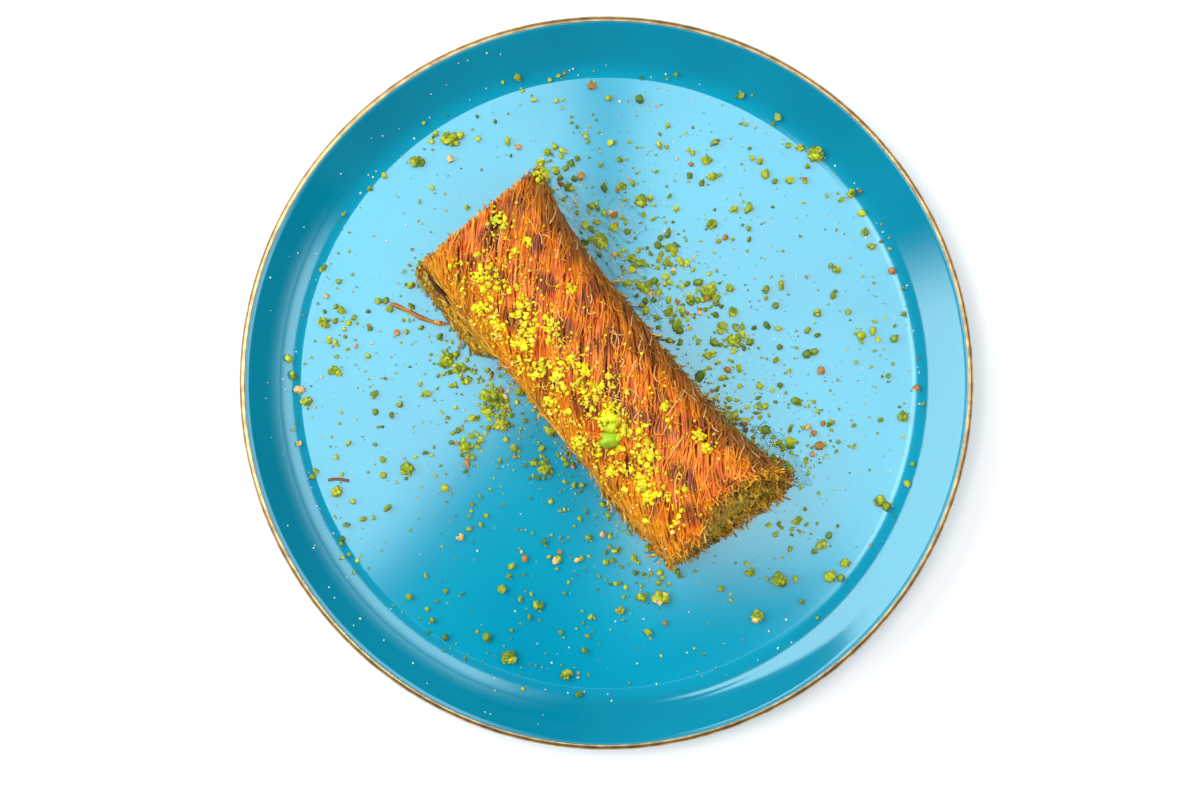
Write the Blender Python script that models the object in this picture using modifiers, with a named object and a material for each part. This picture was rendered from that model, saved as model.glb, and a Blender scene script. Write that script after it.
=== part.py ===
"""A roll of baked pastry shreds, wound round a pistachio filling, on its glazed plate.

Metres, with +Z up. The origin is under the middle of the plate, on the table. The roll is shaped
in a frame of its own, with +X along the roll, +Y across it and z counted from the table.
"""

import math

import bmesh
import bpy
import numpy as np
from mathutils import Matrix, Vector

MM = 0.001
GAP = 0.3 * MM

# The plate: a flat floor, a wall that leans out, a rounded lip and a low foot ring
PLATE_RADIUS = 105 * MM
PLATE_HEIGHT = 16 * MM
FLOOR_TOP = 6.5 * MM
FLOOR_RADIUS = 89 * MM
FLOOR_FILLET = 8 * MM
WALL_LEAN = math.radians(40)
LIP_RADIUS = 1.25 * MM
WALL_THICKNESS = 3.4 * MM
UNDERSIDE_HEIGHT = 2.0 * MM
FOOT_OUTER_RADIUS = 69 * MM
FOOT_INNER_RADIUS = 65.5 * MM
FILLET_STEPS, LIP_STEPS = 4, 6
PLATE_STEPS = 72
WELD = 0.01 * MM

# The roll: where it lies, how long, wide and high it is
ROLL_PLACE = (-0.8 * MM, 5.4 * MM, 0.0)
ROLL_TURN = math.radians(-50.8)
ROLL_LENGTH = 107 * MM
ROLL_HALF_WIDTH = 18.6 * MM
ROLL_HEIGHT = 30 * MM
ROLL_FLARE = 2.2 * MM
ROLL_BOW = -3.2 * MM
ROUND_TOP, FLAT_UNDERSIDE = 2.2, 3.2
ROLL_HALF_HEIGHT = 0.5 * ROLL_HEIGHT
ROLL_BOTTOM = FLOOR_TOP + GAP
ROLL_MIDDLE = ROLL_BOTTOM + ROLL_HALF_HEIGHT

# Both cuts slant, so that the roll is longer at the plate than at its top
HEAD_SLANT = 0.8 * MM
TAIL_SLANT = 6.5 * MM
TAIL_SKEW = 2.5 * MM
CUT_ROUGHNESS = 0.7 * MM
CUT_RINGS = ((0.93, 0.4), (0.66, 0.9))

# The shreds wind round the roll: this far round for each metre along it
WIND = math.tan(math.radians(39))
RIDGES = 60
RIDGE_DEPTH = 0.85 * MM
RIDGE_SPREAD = 0.35
RINGS = 15
SECTION_STEPS = 1440

# Low on its near side the outer layer gapes: from and to this share of the length, this far
FLAPS = ((-0.06, 0.32, 7.5 * MM), (0.70, 0.94, 3.5 * MM))
FLAP_EDGE = 0.07

# The filling runs through the roll from cut to cut
FILLING_HALF_WIDTH = 9.5 * MM
FILLING_HALF_HEIGHT = 6.0 * MM
FILLING_SIDES = 24
FILLING_RINGS = 7
FILLING_BULGE = 0.8 * MM
BORE_REACH = 12 * MM

# Shreds that lie loose on the roll's back, and the route of the one that lies on the plate, in mm
# along and across the roll
SHRED_RADIUS = 0.5 * MM
LOOSE_SHREDS = 6
LOOSE_POINTS = 9
STRAY_RADIUS = 0.6 * MM
STRAY_ROUTE = ((-31, -6), (-33.5, -18), (-36, -27), (-38, -30), (-43, -32.4), (-48, -34.2), (-52, -36))

# Chopped pistachio. The largest lumps on the plate: mm to the right, mm away, mm across
PLATE_LUMPS = (
    (-45.5, 70.8, 5.8), (-54.8, 64.4, 4.7), (60.7, 66.4, 5.8), (10.1, 53.0, 4.7), (-1.6, 40.8, 4.7),
    (30.7, 46.0, 4.1), (37.1, 50.4, 3.6), (44.7, 64.4, 3.4), (71.2, 55.1, 3.8), (75.2, 44.0, 3.6),
    (66.8, 32.9, 3.8), (36.0, 27.7, 3.8), (-82.2, 17.5, 4.4), (-79.2, 3.6, 3.6), (-78.4, -31.6, 4.1),
    (-58.0, -24.7, 5.2), (-28.0, -79.8, 5.2), (-11.5, -83.8, 4.1), (15.9, -62.2, 5.8), (4.0, -66.0, 3.6),
    (43.8, -67.7, 4.7), (50.2, -57.2, 5.8), (65.0, -54.2, 4.7), (79.0, -30.3, 4.7), (62.7, -47.1, 4.1),
    (83.4, -9.8, 4.1), (-33.9, -3.4, 5.8), (-30.9, -12.1, 4.7), (29.6, 26.5, 5.2), (37.4, 12.6, 4.7),
    (24.3, 24.2, 4.1), (9.8, 29.1, 4.1), (-40.8, -18.3, 4.1), (-42.6, -44.7, 3.6),
)

# The largest lumps on the roll: mm along it, mm across it, mm across the lump
ROLL_LUMPS = (
    (-48.6, 2.7, 5.6), (-40.7, -10.3, 4.4), (-39.8, 3.0, 3.2), (13.9, -9.9, 7.3), (11.1, -7.1, 5.1),
    (28.5, -5.8, 4.7), (32.5, 7.5, 4.2), (37.4, -13.6, 4.2), (-9.8, -16.6, 4.4), (12.7, -19.8, 4.6),
    (-1.2, -17.8, 4.4), (-19.8, -14.2, 4.2), (-18.2, -5.1, 4.2), (-34.0, -16.5, 4.0), (24.9, -16.9, 4.0),
)
FINE_ON_PLATE = 18
FINE_ON_ROLL = 12
FINE_SIZES = (2.6, 3.6)
FINE_APART = 7 * MM
KERNELS = 10
KERNEL_SIZE = 3.0 * MM
KERNEL_SPREAD = 0.62
GOLDEN_ANGLE = math.pi * (3.0 - math.sqrt(5.0))

SMOOTH_ANGLE = math.radians(35)
SEED = 19


def clear_scene():
    for obj in list(bpy.data.objects):
        bpy.data.objects.remove(obj, do_unlink=True)


def new_collection(name):
    collection = bpy.data.collections.new(name)
    bpy.context.scene.collection.children.link(collection)
    return collection


def new_material(name, colour, roughness, metallic=0.0):
    material = bpy.data.materials.new(name)
    material.use_nodes = True
    shader = material.node_tree.nodes["Principled BSDF"]
    shader.inputs["Base Color"].default_value = (*colour, 1.0)
    shader.inputs["Roughness"].default_value = roughness
    shader.inputs["Metallic"].default_value = metallic
    return material


def add_mesh(name, bm, collection, material=None):
    mesh = bpy.data.meshes.new(name)
    bm.to_mesh(mesh)
    bm.free()
    obj = bpy.data.objects.new(name, mesh)
    if material:
        mesh.materials.append(material)
    collection.objects.link(obj)
    return obj


def apply_modifiers(obj):
    graph = bpy.context.evaluated_depsgraph_get()
    mesh = bpy.data.meshes.new_from_object(obj.evaluated_get(graph))
    obj.modifiers.clear()
    obj.data = mesh


def keep_outer_shell(obj):
    """Drops loose scraps and fills sealed hollows, by keeping the shell with the most faces."""
    bm = bmesh.new()
    bm.from_mesh(obj.data)
    shells = []
    unseen = set(bm.faces)
    while unseen:
        shell = {unseen.pop()}
        edge_of_shell = list(shell)
        while edge_of_shell:
            face = edge_of_shell.pop()
            beside = {other for edge in face.edges for other in edge.link_faces} & unseen
            shell |= beside
            unseen -= beside
            edge_of_shell.extend(beside)
        shells.append(shell)
    largest = max(shells, key=len)
    spare = [face for face in bm.faces if face not in largest]
    bmesh.ops.delete(bm, geom=spare, context="FACES")
    bm.to_mesh(obj.data)
    bm.free()


def fuse(obj, pieces):
    """Joins every piece of a collection to the object with one union, then removes the pieces."""
    union = obj.modifiers.new("fused", "BOOLEAN")
    union.operation = "UNION"
    union.operand_type = "COLLECTION"
    union.collection = pieces
    union.solver = "MANIFOLD"
    apply_modifiers(obj)
    keep_outer_shell(obj)
    for piece in list(pieces.objects):
        bpy.data.objects.remove(piece, do_unlink=True)
    bpy.data.collections.remove(pieces)


def shade_round(obj):
    obj.data.shade_smooth()
    obj.data.set_sharp_from_angle(angle=SMOOTH_ANGLE)


# Plate


def arc(centre, radius, start, end, steps):
    """Points (radius, height) along an arc; angles in degrees from the outward direction."""
    angles = [math.radians(start + (end - start) * i / steps) for i in range(steps + 1)]
    return [(centre[0] + radius * math.cos(a), centre[1] + radius * math.sin(a)) for a in angles]


def plate_profile():
    """Half of the plate's section, from the middle of its floor out, over the lip and back below."""
    lean = math.degrees(WALL_LEAN)
    fillet_centre = (FLOOR_RADIUS, FLOOR_TOP + FLOOR_FILLET)
    fillet = arc(fillet_centre, FLOOR_FILLET, -90, lean - 90, FILLET_STEPS)
    lip_centre = (PLATE_RADIUS - LIP_RADIUS, PLATE_HEIGHT - LIP_RADIUS)
    lip = arc(lip_centre, LIP_RADIUS, 90 + lean, lean - 90, LIP_STEPS)
    outward = (math.sin(WALL_LEAN) * WALL_THICKNESS, -math.cos(WALL_LEAN) * WALL_THICKNESS)
    shoulder = (fillet[-1][0] + outward[0], fillet[-1][1] + outward[1])
    below = [
        shoulder,
        (FLOOR_RADIUS + 4.5 * MM, 3.4 * MM),
        (FLOOR_RADIUS - 2.0 * MM, UNDERSIDE_HEIGHT + 0.2 * MM),
        (FOOT_OUTER_RADIUS + 1.0 * MM, UNDERSIDE_HEIGHT),
        (FOOT_OUTER_RADIUS, 0.0),
        (FOOT_INNER_RADIUS, 0.0),
        (FOOT_INNER_RADIUS - 1.0 * MM, UNDERSIDE_HEIGHT),
        (0.0, UNDERSIDE_HEIGHT),
    ]
    return [(0.0, FLOOR_TOP), (0.5 * FLOOR_RADIUS, FLOOR_TOP), *fillet, *lip, *below]


def make_plate(collection, material):
    """The section is turned round the upright axis with a Screw."""
    bm = bmesh.new()
    points = [bm.verts.new((radius, 0.0, height)) for radius, height in plate_profile()]
    for a, b in zip(points, points[1:]):
        bm.edges.new((a, b))
    plate = add_mesh("plate", bm, collection, material)
    turn = plate.modifiers.new("turned", "SCREW")
    turn.steps = turn.render_steps = PLATE_STEPS
    turn.use_merge_vertices = True
    turn.merge_threshold = WELD
    return plate


# Roll


def smooth_step(low, high, value):
    """0 where the value is at low, 1 where it is at high, and an easy rise between; low may be more."""
    share = np.clip((value - low) / (high - low), 0.0, 1.0)
    return share * share * (3.0 - 2.0 * share)


def section(half_width, half_height, count):
    """Points (across, up) evenly spaced round a superellipse with a flatter underside, and its girth."""
    angle = np.linspace(0.0, 2.0 * math.pi, SECTION_STEPS + 1)
    cosine, sine = np.cos(angle), np.sin(angle)
    power = 2.0 / np.where(sine >= 0.0, ROUND_TOP, FLAT_UNDERSIDE)
    across = half_width * np.sign(cosine) * np.abs(cosine) ** power
    up = half_height * np.sign(sine) * np.abs(sine) ** power
    run = np.concatenate([[0.0], np.cumsum(np.hypot(np.diff(across), np.diff(up)))])
    wanted = np.arange(count) / count * run[-1]
    return np.interp(wanted, run, across), np.interp(wanted, run, up), run[-1]


def half_width_at(share):
    """The roll is narrowest in the middle and flares at both cuts; share runs from 0 to 1."""
    return ROLL_HALF_WIDTH + ROLL_FLARE * (2.0 * share - 1.0) ** 4


def along_roll(share, across, up):
    """Where a share of the way between the slanting cuts lies along the roll."""
    depth = 0.5 - up / ROLL_HEIGHT
    head = -0.5 * ROLL_LENGTH - HEAD_SLANT * depth
    tail = 0.5 * ROLL_LENGTH + depth * (TAIL_SLANT + TAIL_SKEW * across / ROLL_HALF_WIDTH)
    return head + share * (tail - head)


def bow_at(share):
    """The roll lies a little bowed: its middle stands off the line between its ends."""
    return ROLL_BOW * (1.0 - (2.0 * share - 1.0) ** 4)


def flap_at(share):
    """How far the lowest layer stands out on the near side, rising and falling along each flap."""
    reach_here = 0.0
    for start, end, reach in FLAPS:
        rise = smooth_step(start, start + FLAP_EDGE, share)
        fall = smooth_step(end, end - FLAP_EDGE, share)
        reach_here += reach * rise * fall
    return reach_here


def ring_points(share, scale, relief):
    """One ring round the roll: the section, turned by the winding, with its own relief at each point."""
    width = half_width_at(share)
    across, up, girth = section(width, ROLL_HALF_HEIGHT, SECTION_STEPS)
    turned = round(WIND * ROLL_LENGTH * share / girth * SECTION_STEPS)
    index = (np.arange(len(relief)) * (SECTION_STEPS // len(relief)) + turned) % SECTION_STEPS
    across, up = across[index] * scale, up[index] * scale
    grown = 1.0 + relief / np.hypot(across, up)
    across, up = across * grown, up * grown
    along = along_roll(share, across, up)
    low_side = smooth_step(0.0, -0.9, up / ROLL_HALF_HEIGHT) * smooth_step(0.3, 0.9, -across / width)
    across = across - flap_at(share) * low_side + bow_at(share)
    return np.stack([along, across, np.maximum(up, -ROLL_HALF_HEIGHT)], axis=1)


def loft(rings, name, collection, material):
    """A closed surface through rings of equal count, with a fan to the middle at each end."""
    bm = bmesh.new()
    rows = [[bm.verts.new(point) for point in ring] for ring in rings]
    for first, second in zip(rows, rows[1:]):
        for i in range(len(first)):
            j = (i + 1) % len(first)
            bm.faces.new((first[i], second[i], second[j], first[j]))
    for row, ring in ((rows[0], rings[0]), (rows[-1], rings[-1])):
        middle = bm.verts.new(ring.mean(axis=0))
        for i in range(len(row)):
            bm.faces.new((row[i], row[(i + 1) % len(row)], middle))
    bmesh.ops.recalc_face_normals(bm, faces=bm.faces)
    return add_mesh(name, bm, collection, material)


def make_shreds(collection, material, random):
    """The wound pastry: every other column of points is the back of a shred, the rest are grooves."""
    columns = 2 * RIDGES
    ridges = np.where(np.arange(columns) % 2 == 0, RIDGE_DEPTH, -RIDGE_DEPTH)
    own = random.uniform(-RIDGE_SPREAD, RIDGE_SPREAD, columns)
    rings = []
    for share in np.linspace(0.0, 1.0, RINGS):
        noise = own + 0.7 * random.uniform(-RIDGE_SPREAD, RIDGE_SPREAD, columns)
        rings.append(ring_points(share, 1.0, ridges * (0.5 + noise)))
    for share, outward in ((0.0, -1.0), (1.0, 1.0)):
        for scale, push in CUT_RINGS:
            ring = ring_points(share, scale, ridges * 0.25 * (0.5 + own))
            ring[:, 0] += CUT_ROUGHNESS * (outward * push + random.uniform(-1.0, 1.0, columns))
            rings.insert(0 if outward < 0.0 else len(rings), ring)
    return loft(rings, "kadayif_roll", collection, material)


def end_ring(ring, scale, reach):
    """A copy of the last ring, scaled about its middle and pushed out along the roll."""
    middle = ring.mean(axis=0)
    pushed = middle + scale * (ring - middle)
    pushed[:, 0] += reach
    return pushed


def make_rod(name, collection, material, grow, end_scale, end_reach):
    """An oval rod through the roll, following its bow and both slanting cuts."""
    angle = np.arange(FILLING_SIDES) / FILLING_SIDES * 2.0 * math.pi
    across = (FILLING_HALF_WIDTH + grow) * np.cos(angle)
    up = (FILLING_HALF_HEIGHT + grow) * np.sin(angle)
    rings = []
    for share in np.linspace(0.0, 1.0, FILLING_RINGS):
        rings.append(np.stack([along_roll(share, across, up), across + bow_at(share), up], axis=1))
    head = end_ring(rings[0], end_scale, -end_reach)
    tail = end_ring(rings[-1], end_scale, end_reach)
    return loft([head, *rings, tail], name, collection, material)


# Shreds that stand clear of the roll


def make_strand(name, points, radius, collection):
    """A thin round shred along the points, as a closed mesh."""
    data = bpy.data.curves.new(name, "CURVE")
    data.dimensions = "3D"
    data.bevel_depth = radius
    data.bevel_resolution = 0
    data.use_fill_caps = True
    spline = data.splines.new("POLY")
    spline.points.add(len(points) - 1)
    for target, point in zip(spline.points, points):
        target.co = (*point, 1.0)
    curve = bpy.data.objects.new(name + "_line", data)
    collection.objects.link(curve)
    graph = bpy.context.evaluated_depsgraph_get()
    mesh = bpy.data.meshes.new_from_object(curve.evaluated_get(graph))
    bpy.data.objects.remove(curve, do_unlink=True)
    bm = bmesh.new()
    bm.from_mesh(mesh)
    bmesh.ops.remove_doubles(bm, verts=bm.verts, dist=0.1 * WELD)
    bmesh.ops.recalc_face_normals(bm, faces=bm.faces)
    return add_mesh(name, bm, collection)


def surface_up(across, half_width):
    """Height of the roll's back above its middle, this far across."""
    share = min(abs(across) / half_width, 0.999)
    return ROLL_HALF_HEIGHT * (1.0 - share**ROUND_TOP) ** (1.0 / ROUND_TOP)


def make_loose_shreds(collection, random):
    """Shreds that lie proud of the roll's back, each following the winding for a part of it."""
    half_height = ROLL_HALF_HEIGHT + 0.6 * SHRED_RADIUS
    across, up, girth = section(ROLL_HALF_WIDTH + SHRED_RADIUS, half_height, SECTION_STEPS)
    for k in range(LOOSE_SHREDS):
        start = 0.5 * girth * (k + 0.5) / LOOSE_SHREDS
        first = ROLL_LENGTH * random.uniform(-0.46, -0.34)
        length = 0.5 * girth / WIND * random.uniform(0.35, 0.6)
        points = []
        for along in np.linspace(first, first + length, LOOSE_POINTS):
            i = int((start + WIND * (along - first)) / girth * SECTION_STEPS) % SECTION_STEPS
            height = max(up[i], 2.0 * SHRED_RADIUS - ROLL_HALF_HEIGHT)
            points.append((along, across[i] + bow_at(along / ROLL_LENGTH + 0.5), height))
        make_strand(f"loose_{k}", points, SHRED_RADIUS, collection)


def make_stray_shred(collection):
    """The one long shred that has slipped out of the roll's flap and lies on the plate."""
    height = 1.2 * STRAY_RADIUS - ROLL_HALF_HEIGHT
    points = [(along * MM, across * MM, height) for along, across in STRAY_ROUTE]
    make_strand("stray", points, STRAY_RADIUS, collection)


# Pistachio crumbs


def make_crumb(name, centre, size, random, collection):
    """A chipped lump: a coarse ball with each corner pushed in or out, flattened and turned."""
    bm = bmesh.new()
    bmesh.ops.create_icosphere(bm, subdivisions=1, radius=0.5 * size)
    for vert in bm.verts:
        vert.co *= random.uniform(0.78, 1.2)
    shape = Matrix.Diagonal((1.0, random.uniform(0.65, 0.95), random.uniform(0.6, 0.8), 1.0))
    turn = Matrix.Rotation(random.uniform(0.0, math.pi), 4, "Z")
    bmesh.ops.transform(bm, matrix=Matrix.Translation(Vector(centre)) @ turn @ shape, verts=bm.verts)
    return add_mesh(name, bm, collection)


def roll_frame():
    return Matrix.Translation(ROLL_PLACE) @ Matrix.Rotation(ROLL_TURN, 4, "Z")


def beside_roll(x, y):
    """True where a crumb on the plate stays clear of the roll, its flap and the stray shred."""
    place = roll_frame().inverted() @ Vector((x, y, 0.0))
    past_side = abs(place.y) > ROLL_HALF_WIDTH + 4.6 * MM
    past_end = abs(place.x) > 0.5 * ROLL_LENGTH + 15 * MM
    near_stray = -56 * MM < place.x < -24 * MM and -40 * MM < place.y < 0.0
    return (past_side or past_end) and not near_stray


def plate_places(random):
    """The hand-placed lumps, then finer crumbs drawn evenly over the floor, clear of each other."""
    places = [(x * MM, y * MM, size * MM) for x, y, size in PLATE_LUMPS]
    places = [place for place in places if beside_roll(place[0], place[1])]
    wanted = len(places) + FINE_ON_PLATE
    while len(places) < wanted:
        reach = (FLOOR_RADIUS - 5 * MM) * math.sqrt(random.uniform(0.0, 1.0))
        angle = random.uniform(-math.pi, math.pi)
        x, y = reach * math.cos(angle), reach * math.sin(angle)
        apart = min(math.hypot(x - other[0], y - other[1]) for other in places)
        if beside_roll(x, y) and apart > FINE_APART:
            places.append((x, y, random.uniform(*FINE_SIZES) * MM))
    return places


def scatter_on_plate(collection, random):
    for k, (x, y, size) in enumerate(plate_places(random)):
        centre = (x, y, FLOOR_TOP + 0.14 * size)
        make_crumb(f"crumb_{k}", centre, size, random, collection)


def scatter_on_roll(collection, random):
    """Lumps on the roll's back, then finer crumbs along the drift on its near side."""
    places = [(along * MM, across * MM, size * MM) for along, across, size in ROLL_LUMPS]
    for _ in range(FINE_ON_ROLL):
        along = random.uniform(-0.44, 0.44) * ROLL_LENGTH
        across = random.uniform(-0.9, 0.15) * ROLL_HALF_WIDTH
        places.append((along, across, random.uniform(*FINE_SIZES) * MM))
    for k, (along, across, size) in enumerate(places):
        share = along / ROLL_LENGTH + 0.5
        up = surface_up(across, half_width_at(share)) + 0.08 * size
        centre = (along, across + bow_at(share), up)
        make_crumb(f"topping_{k}", centre, size, random, collection)


def scatter_on_filling(collection, random):
    """Pistachio that stands out of the filling at both cuts, inside the width of its rod."""
    for k in range(KERNELS):
        share = float(k % 2)
        angle = k * GOLDEN_ANGLE
        reach = KERNEL_SPREAD * math.sqrt((k + 1) / KERNELS)
        across = reach * FILLING_HALF_WIDTH * math.cos(angle)
        up = reach * FILLING_HALF_HEIGHT * math.sin(angle)
        along = float(along_roll(share, across, up)) + (2.0 * share - 1.0) * 0.5 * FILLING_BULGE
        make_crumb(f"kernel_{k}", (along, across, up), KERNEL_SIZE, random, collection)


def main():
    clear_scene()
    random = np.random.default_rng(SEED)
    model = new_collection("kadayif_on_plate")
    cutters = new_collection("cutters")
    glaze = new_material("turquoise_glaze", (0.004, 0.23, 0.37), 0.18)
    pastry = new_material("baked_pastry", (0.50, 0.16, 0.03), 0.45)
    pistachio = new_material("ground_pistachio", (0.33, 0.26, 0.03), 0.7)

    plate = make_plate(model, glaze)
    crumbs = new_collection("plate_crumbs")
    scatter_on_plate(crumbs, random)
    fuse(plate, crumbs)
    shade_round(plate)

    roll = make_shreds(model, pastry, random)
    toppings = new_collection("roll_toppings")
    make_loose_shreds(toppings, random)
    make_stray_shred(toppings)
    scatter_on_roll(toppings, random)
    fuse(roll, toppings)
    shade_round(roll)

    bore = make_rod("filling_bore", cutters, None, GAP, 1.0, BORE_REACH)
    bore.hide_render = True
    bore.display_type = "WIRE"
    cut = roll.modifiers.new("filling_bore", "BOOLEAN")
    cut.object = bore
    cut.operation = "DIFFERENCE"

    filling = make_rod("pistachio_filling", model, pistachio, 0.0, 0.6, FILLING_BULGE)
    kernels = new_collection("filling_kernels")
    scatter_on_filling(kernels, random)
    fuse(filling, kernels)
    shade_round(filling)

    place = bpy.data.objects.new("roll_place", None)
    model.objects.link(place)
    place.location = (ROLL_PLACE[0], ROLL_PLACE[1], ROLL_MIDDLE)
    place.rotation_euler = (0.0, 0.0, ROLL_TURN)
    for obj in (roll, bore, filling):
        obj.parent = place


main()
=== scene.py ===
"""The kadayif roll on its plate: glazed plate, wound pastry shreds, pistachio filling and crumbs."""

import math

import bmesh
import bpy
import numpy as np
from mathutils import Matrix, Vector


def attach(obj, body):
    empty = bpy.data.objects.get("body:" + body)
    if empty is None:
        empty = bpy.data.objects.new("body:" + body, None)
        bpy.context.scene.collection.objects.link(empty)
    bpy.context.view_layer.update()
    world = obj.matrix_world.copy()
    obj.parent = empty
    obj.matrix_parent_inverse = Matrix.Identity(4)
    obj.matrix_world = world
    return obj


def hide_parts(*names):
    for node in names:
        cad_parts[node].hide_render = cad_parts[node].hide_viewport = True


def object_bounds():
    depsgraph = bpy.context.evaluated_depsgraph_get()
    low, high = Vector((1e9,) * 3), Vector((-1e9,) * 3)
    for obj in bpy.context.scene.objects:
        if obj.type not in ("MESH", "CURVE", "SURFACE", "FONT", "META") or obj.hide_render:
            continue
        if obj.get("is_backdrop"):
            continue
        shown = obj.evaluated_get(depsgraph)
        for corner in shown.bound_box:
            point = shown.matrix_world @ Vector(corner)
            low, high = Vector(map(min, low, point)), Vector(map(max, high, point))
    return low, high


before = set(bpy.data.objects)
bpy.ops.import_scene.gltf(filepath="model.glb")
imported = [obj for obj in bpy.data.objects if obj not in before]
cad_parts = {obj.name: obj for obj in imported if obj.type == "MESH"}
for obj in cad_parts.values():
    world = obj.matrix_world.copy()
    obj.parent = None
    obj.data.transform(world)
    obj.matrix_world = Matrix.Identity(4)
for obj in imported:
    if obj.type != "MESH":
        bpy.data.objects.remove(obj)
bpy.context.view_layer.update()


# Plate
#
# A round stoneware plate with a flat floor, a wall that leans out, a rounded lip and a foot ring.
# It is turned as one body and glazed turquoise all over, and the lip carries a thin gilded line.

MM = 0.001
PLATE_RADIUS = 105 * MM
PLATE_HEIGHT = 16 * MM
FLOOR_TOP = 6.5 * MM
FLOOR_RADIUS = 89 * MM
FLOOR_FILLET = 8 * MM
WALL_LEAN = math.radians(40)
WALL_THICKNESS = 3.4 * MM
LIP_RADIUS = 1.25 * MM
UNDERSIDE = ((93.5, 3.4), (87.0, 2.2), (70.0, 2.0), (69.2, 1.0), (68.7, 0.15), (68.2, 0.0),
             (66.3, 0.0), (65.8, 0.15), (65.3, 1.0), (64.5, 2.0), (0.0, 2.0))
PLATE_STEPS = 288
GLAZE_DEEP, GLAZE_LIGHT, MOTTLE_SCALE = (0.0, 0.26, 0.41), (0.0, 0.32, 0.49), 14.0
GLAZE_ROUGHNESS, GLAZE_SHINE, SHINE_TINT = 0.09, 0.78, (0.64, 0.92, 1.0)
WALL_TINT, WALL_TINT_REACH = (1.0, 0.78, 0.78), (FLOOR_RADIUS - 1.0 * MM, FLOOR_RADIUS + 4.0 * MM)
# Distances from the middle, in mm, and the slopes in degrees with which the glaze mirrors there.
GLOSS_SLOPES = ((88.2, 0.0), (88.25, 11.3), (89.1, 13.6), (89.2, 14.8), (90.6, 17.5), (92.0, 20.5),
                (93.0, 23.0), (94.5, 26.0), (96.5, 29.0), (98.5, 31.3), (102.3, 31.3), (102.5, 25.0),
                (102.9, 25.0))
GILDING, GILDING_WORN, WEAR_SCALE = (0.62, 0.45, 0.22), (0.34, 0.22, 0.10), 300.0
GOLD_FROM, GOLD_TO, GOLD_PROUD = 104, -22, 0.06 * MM


def new_material(name, roughness, colour=(0.8, 0.8, 0.8), metallic=0.0):
    """A plain surface with one colour; returns it with its nodes, links and shader."""
    material = bpy.data.materials.new(name)
    material.use_nodes = True
    nodes, links = material.node_tree.nodes, material.node_tree.links
    shader = nodes["Principled BSDF"]
    shader.inputs["Base Color"].default_value = (*colour, 1.0)
    shader.inputs["Roughness"].default_value = roughness
    shader.inputs["Metallic"].default_value = metallic
    return material, nodes, links, shader


def noise_colour(nodes, links, shader, scale, low, high):
    """Blends two colours by a noise over the object's own coordinates, and feeds the base colour."""
    place = nodes.new("ShaderNodeTexCoord")
    noise = nodes.new("ShaderNodeTexNoise")
    noise.inputs["Scale"].default_value = scale
    noise.inputs["Detail"].default_value = 3.0
    ramp = nodes.new("ShaderNodeValToRGB")
    ramp.color_ramp.elements[0].position = 0.35
    ramp.color_ramp.elements[0].color = (*low, 1.0)
    ramp.color_ramp.elements[1].position = 0.65
    ramp.color_ramp.elements[1].color = (*high, 1.0)
    links.new(place.outputs["Object"], noise.inputs["Vector"])
    links.new(noise.outputs["Fac"], ramp.inputs["Fac"])
    links.new(ramp.outputs["Color"], shader.inputs["Base Color"])
    return place


def map_range(nodes, links, source, low, high, interpolation="LINEAR"):
    """How far a value lies between low, where it gives 0, and high, where it gives 1."""
    node = nodes.new("ShaderNodeMapRange")
    node.interpolation_type = interpolation
    node.inputs["From Min"].default_value = low
    node.inputs["From Max"].default_value = high
    links.new(source, node.inputs["Value"])
    return node.outputs["Result"]


def combine(nodes, links, kind, first, second):
    """One sum, difference, product or smaller value of a pattern."""
    node = nodes.new("ShaderNodeMath")
    node.operation = kind
    for socket, value in zip(node.inputs, (first, second)):
        if isinstance(value, float):
            socket.default_value = value
        else:
            links.new(value, socket)
    return node.outputs["Value"]


def combine_directions(nodes, links, kind, first, second=None):
    """One sum, product, length or unit vector of a pattern's directions."""
    node = nodes.new("ShaderNodeVectorMath")
    node.operation = kind
    links.new(first, node.inputs[0])
    if isinstance(second, tuple):
        node.inputs[1].default_value = second
    elif second is not None:
        links.new(second, node.inputs["Scale" if kind == "SCALE" else 1])
    return node.outputs["Value" if kind == "LENGTH" else "Vector"]


def add_mesh(name, points, quads, material, triangles=None, smooth=True):
    """An object from whole arrays: points (n, 3) in metres, four-sided and three-sided faces."""
    quads = np.asarray(quads, np.int32).reshape(-1, 4)
    triangles = np.zeros((0, 3), np.int32) if triangles is None else np.asarray(triangles, np.int32)
    corners = np.concatenate([quads.ravel(), triangles.ravel()])
    sizes = np.concatenate([np.full(len(quads), 4), np.full(len(triangles), 3)]).astype(np.int32)
    mesh = bpy.data.meshes.new(name)
    mesh.vertices.add(len(points))
    mesh.vertices.foreach_set("co", np.asarray(points, np.float32).ravel())
    mesh.loops.add(len(corners))
    mesh.loops.foreach_set("vertex_index", corners)
    mesh.polygons.add(len(sizes))
    mesh.polygons.foreach_set("loop_start", (np.cumsum(sizes) - sizes).astype(np.int32))
    mesh.polygons.foreach_set("use_smooth", np.full(len(sizes), smooth))
    mesh.update(calc_edges=True)
    mesh.validate()
    mesh.materials.append(material)
    obj = bpy.data.objects.new(name, mesh)
    bpy.context.scene.collection.objects.link(obj)
    return obj


def arc(centre, radius, start, end, count):
    """Points along an arc, in degrees from the outward direction, as (radius, height) rows."""
    angle = np.radians(np.linspace(start, end, count))
    return np.stack([centre[0] + radius * np.cos(angle), centre[1] + radius * np.sin(angle)], 1)


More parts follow.
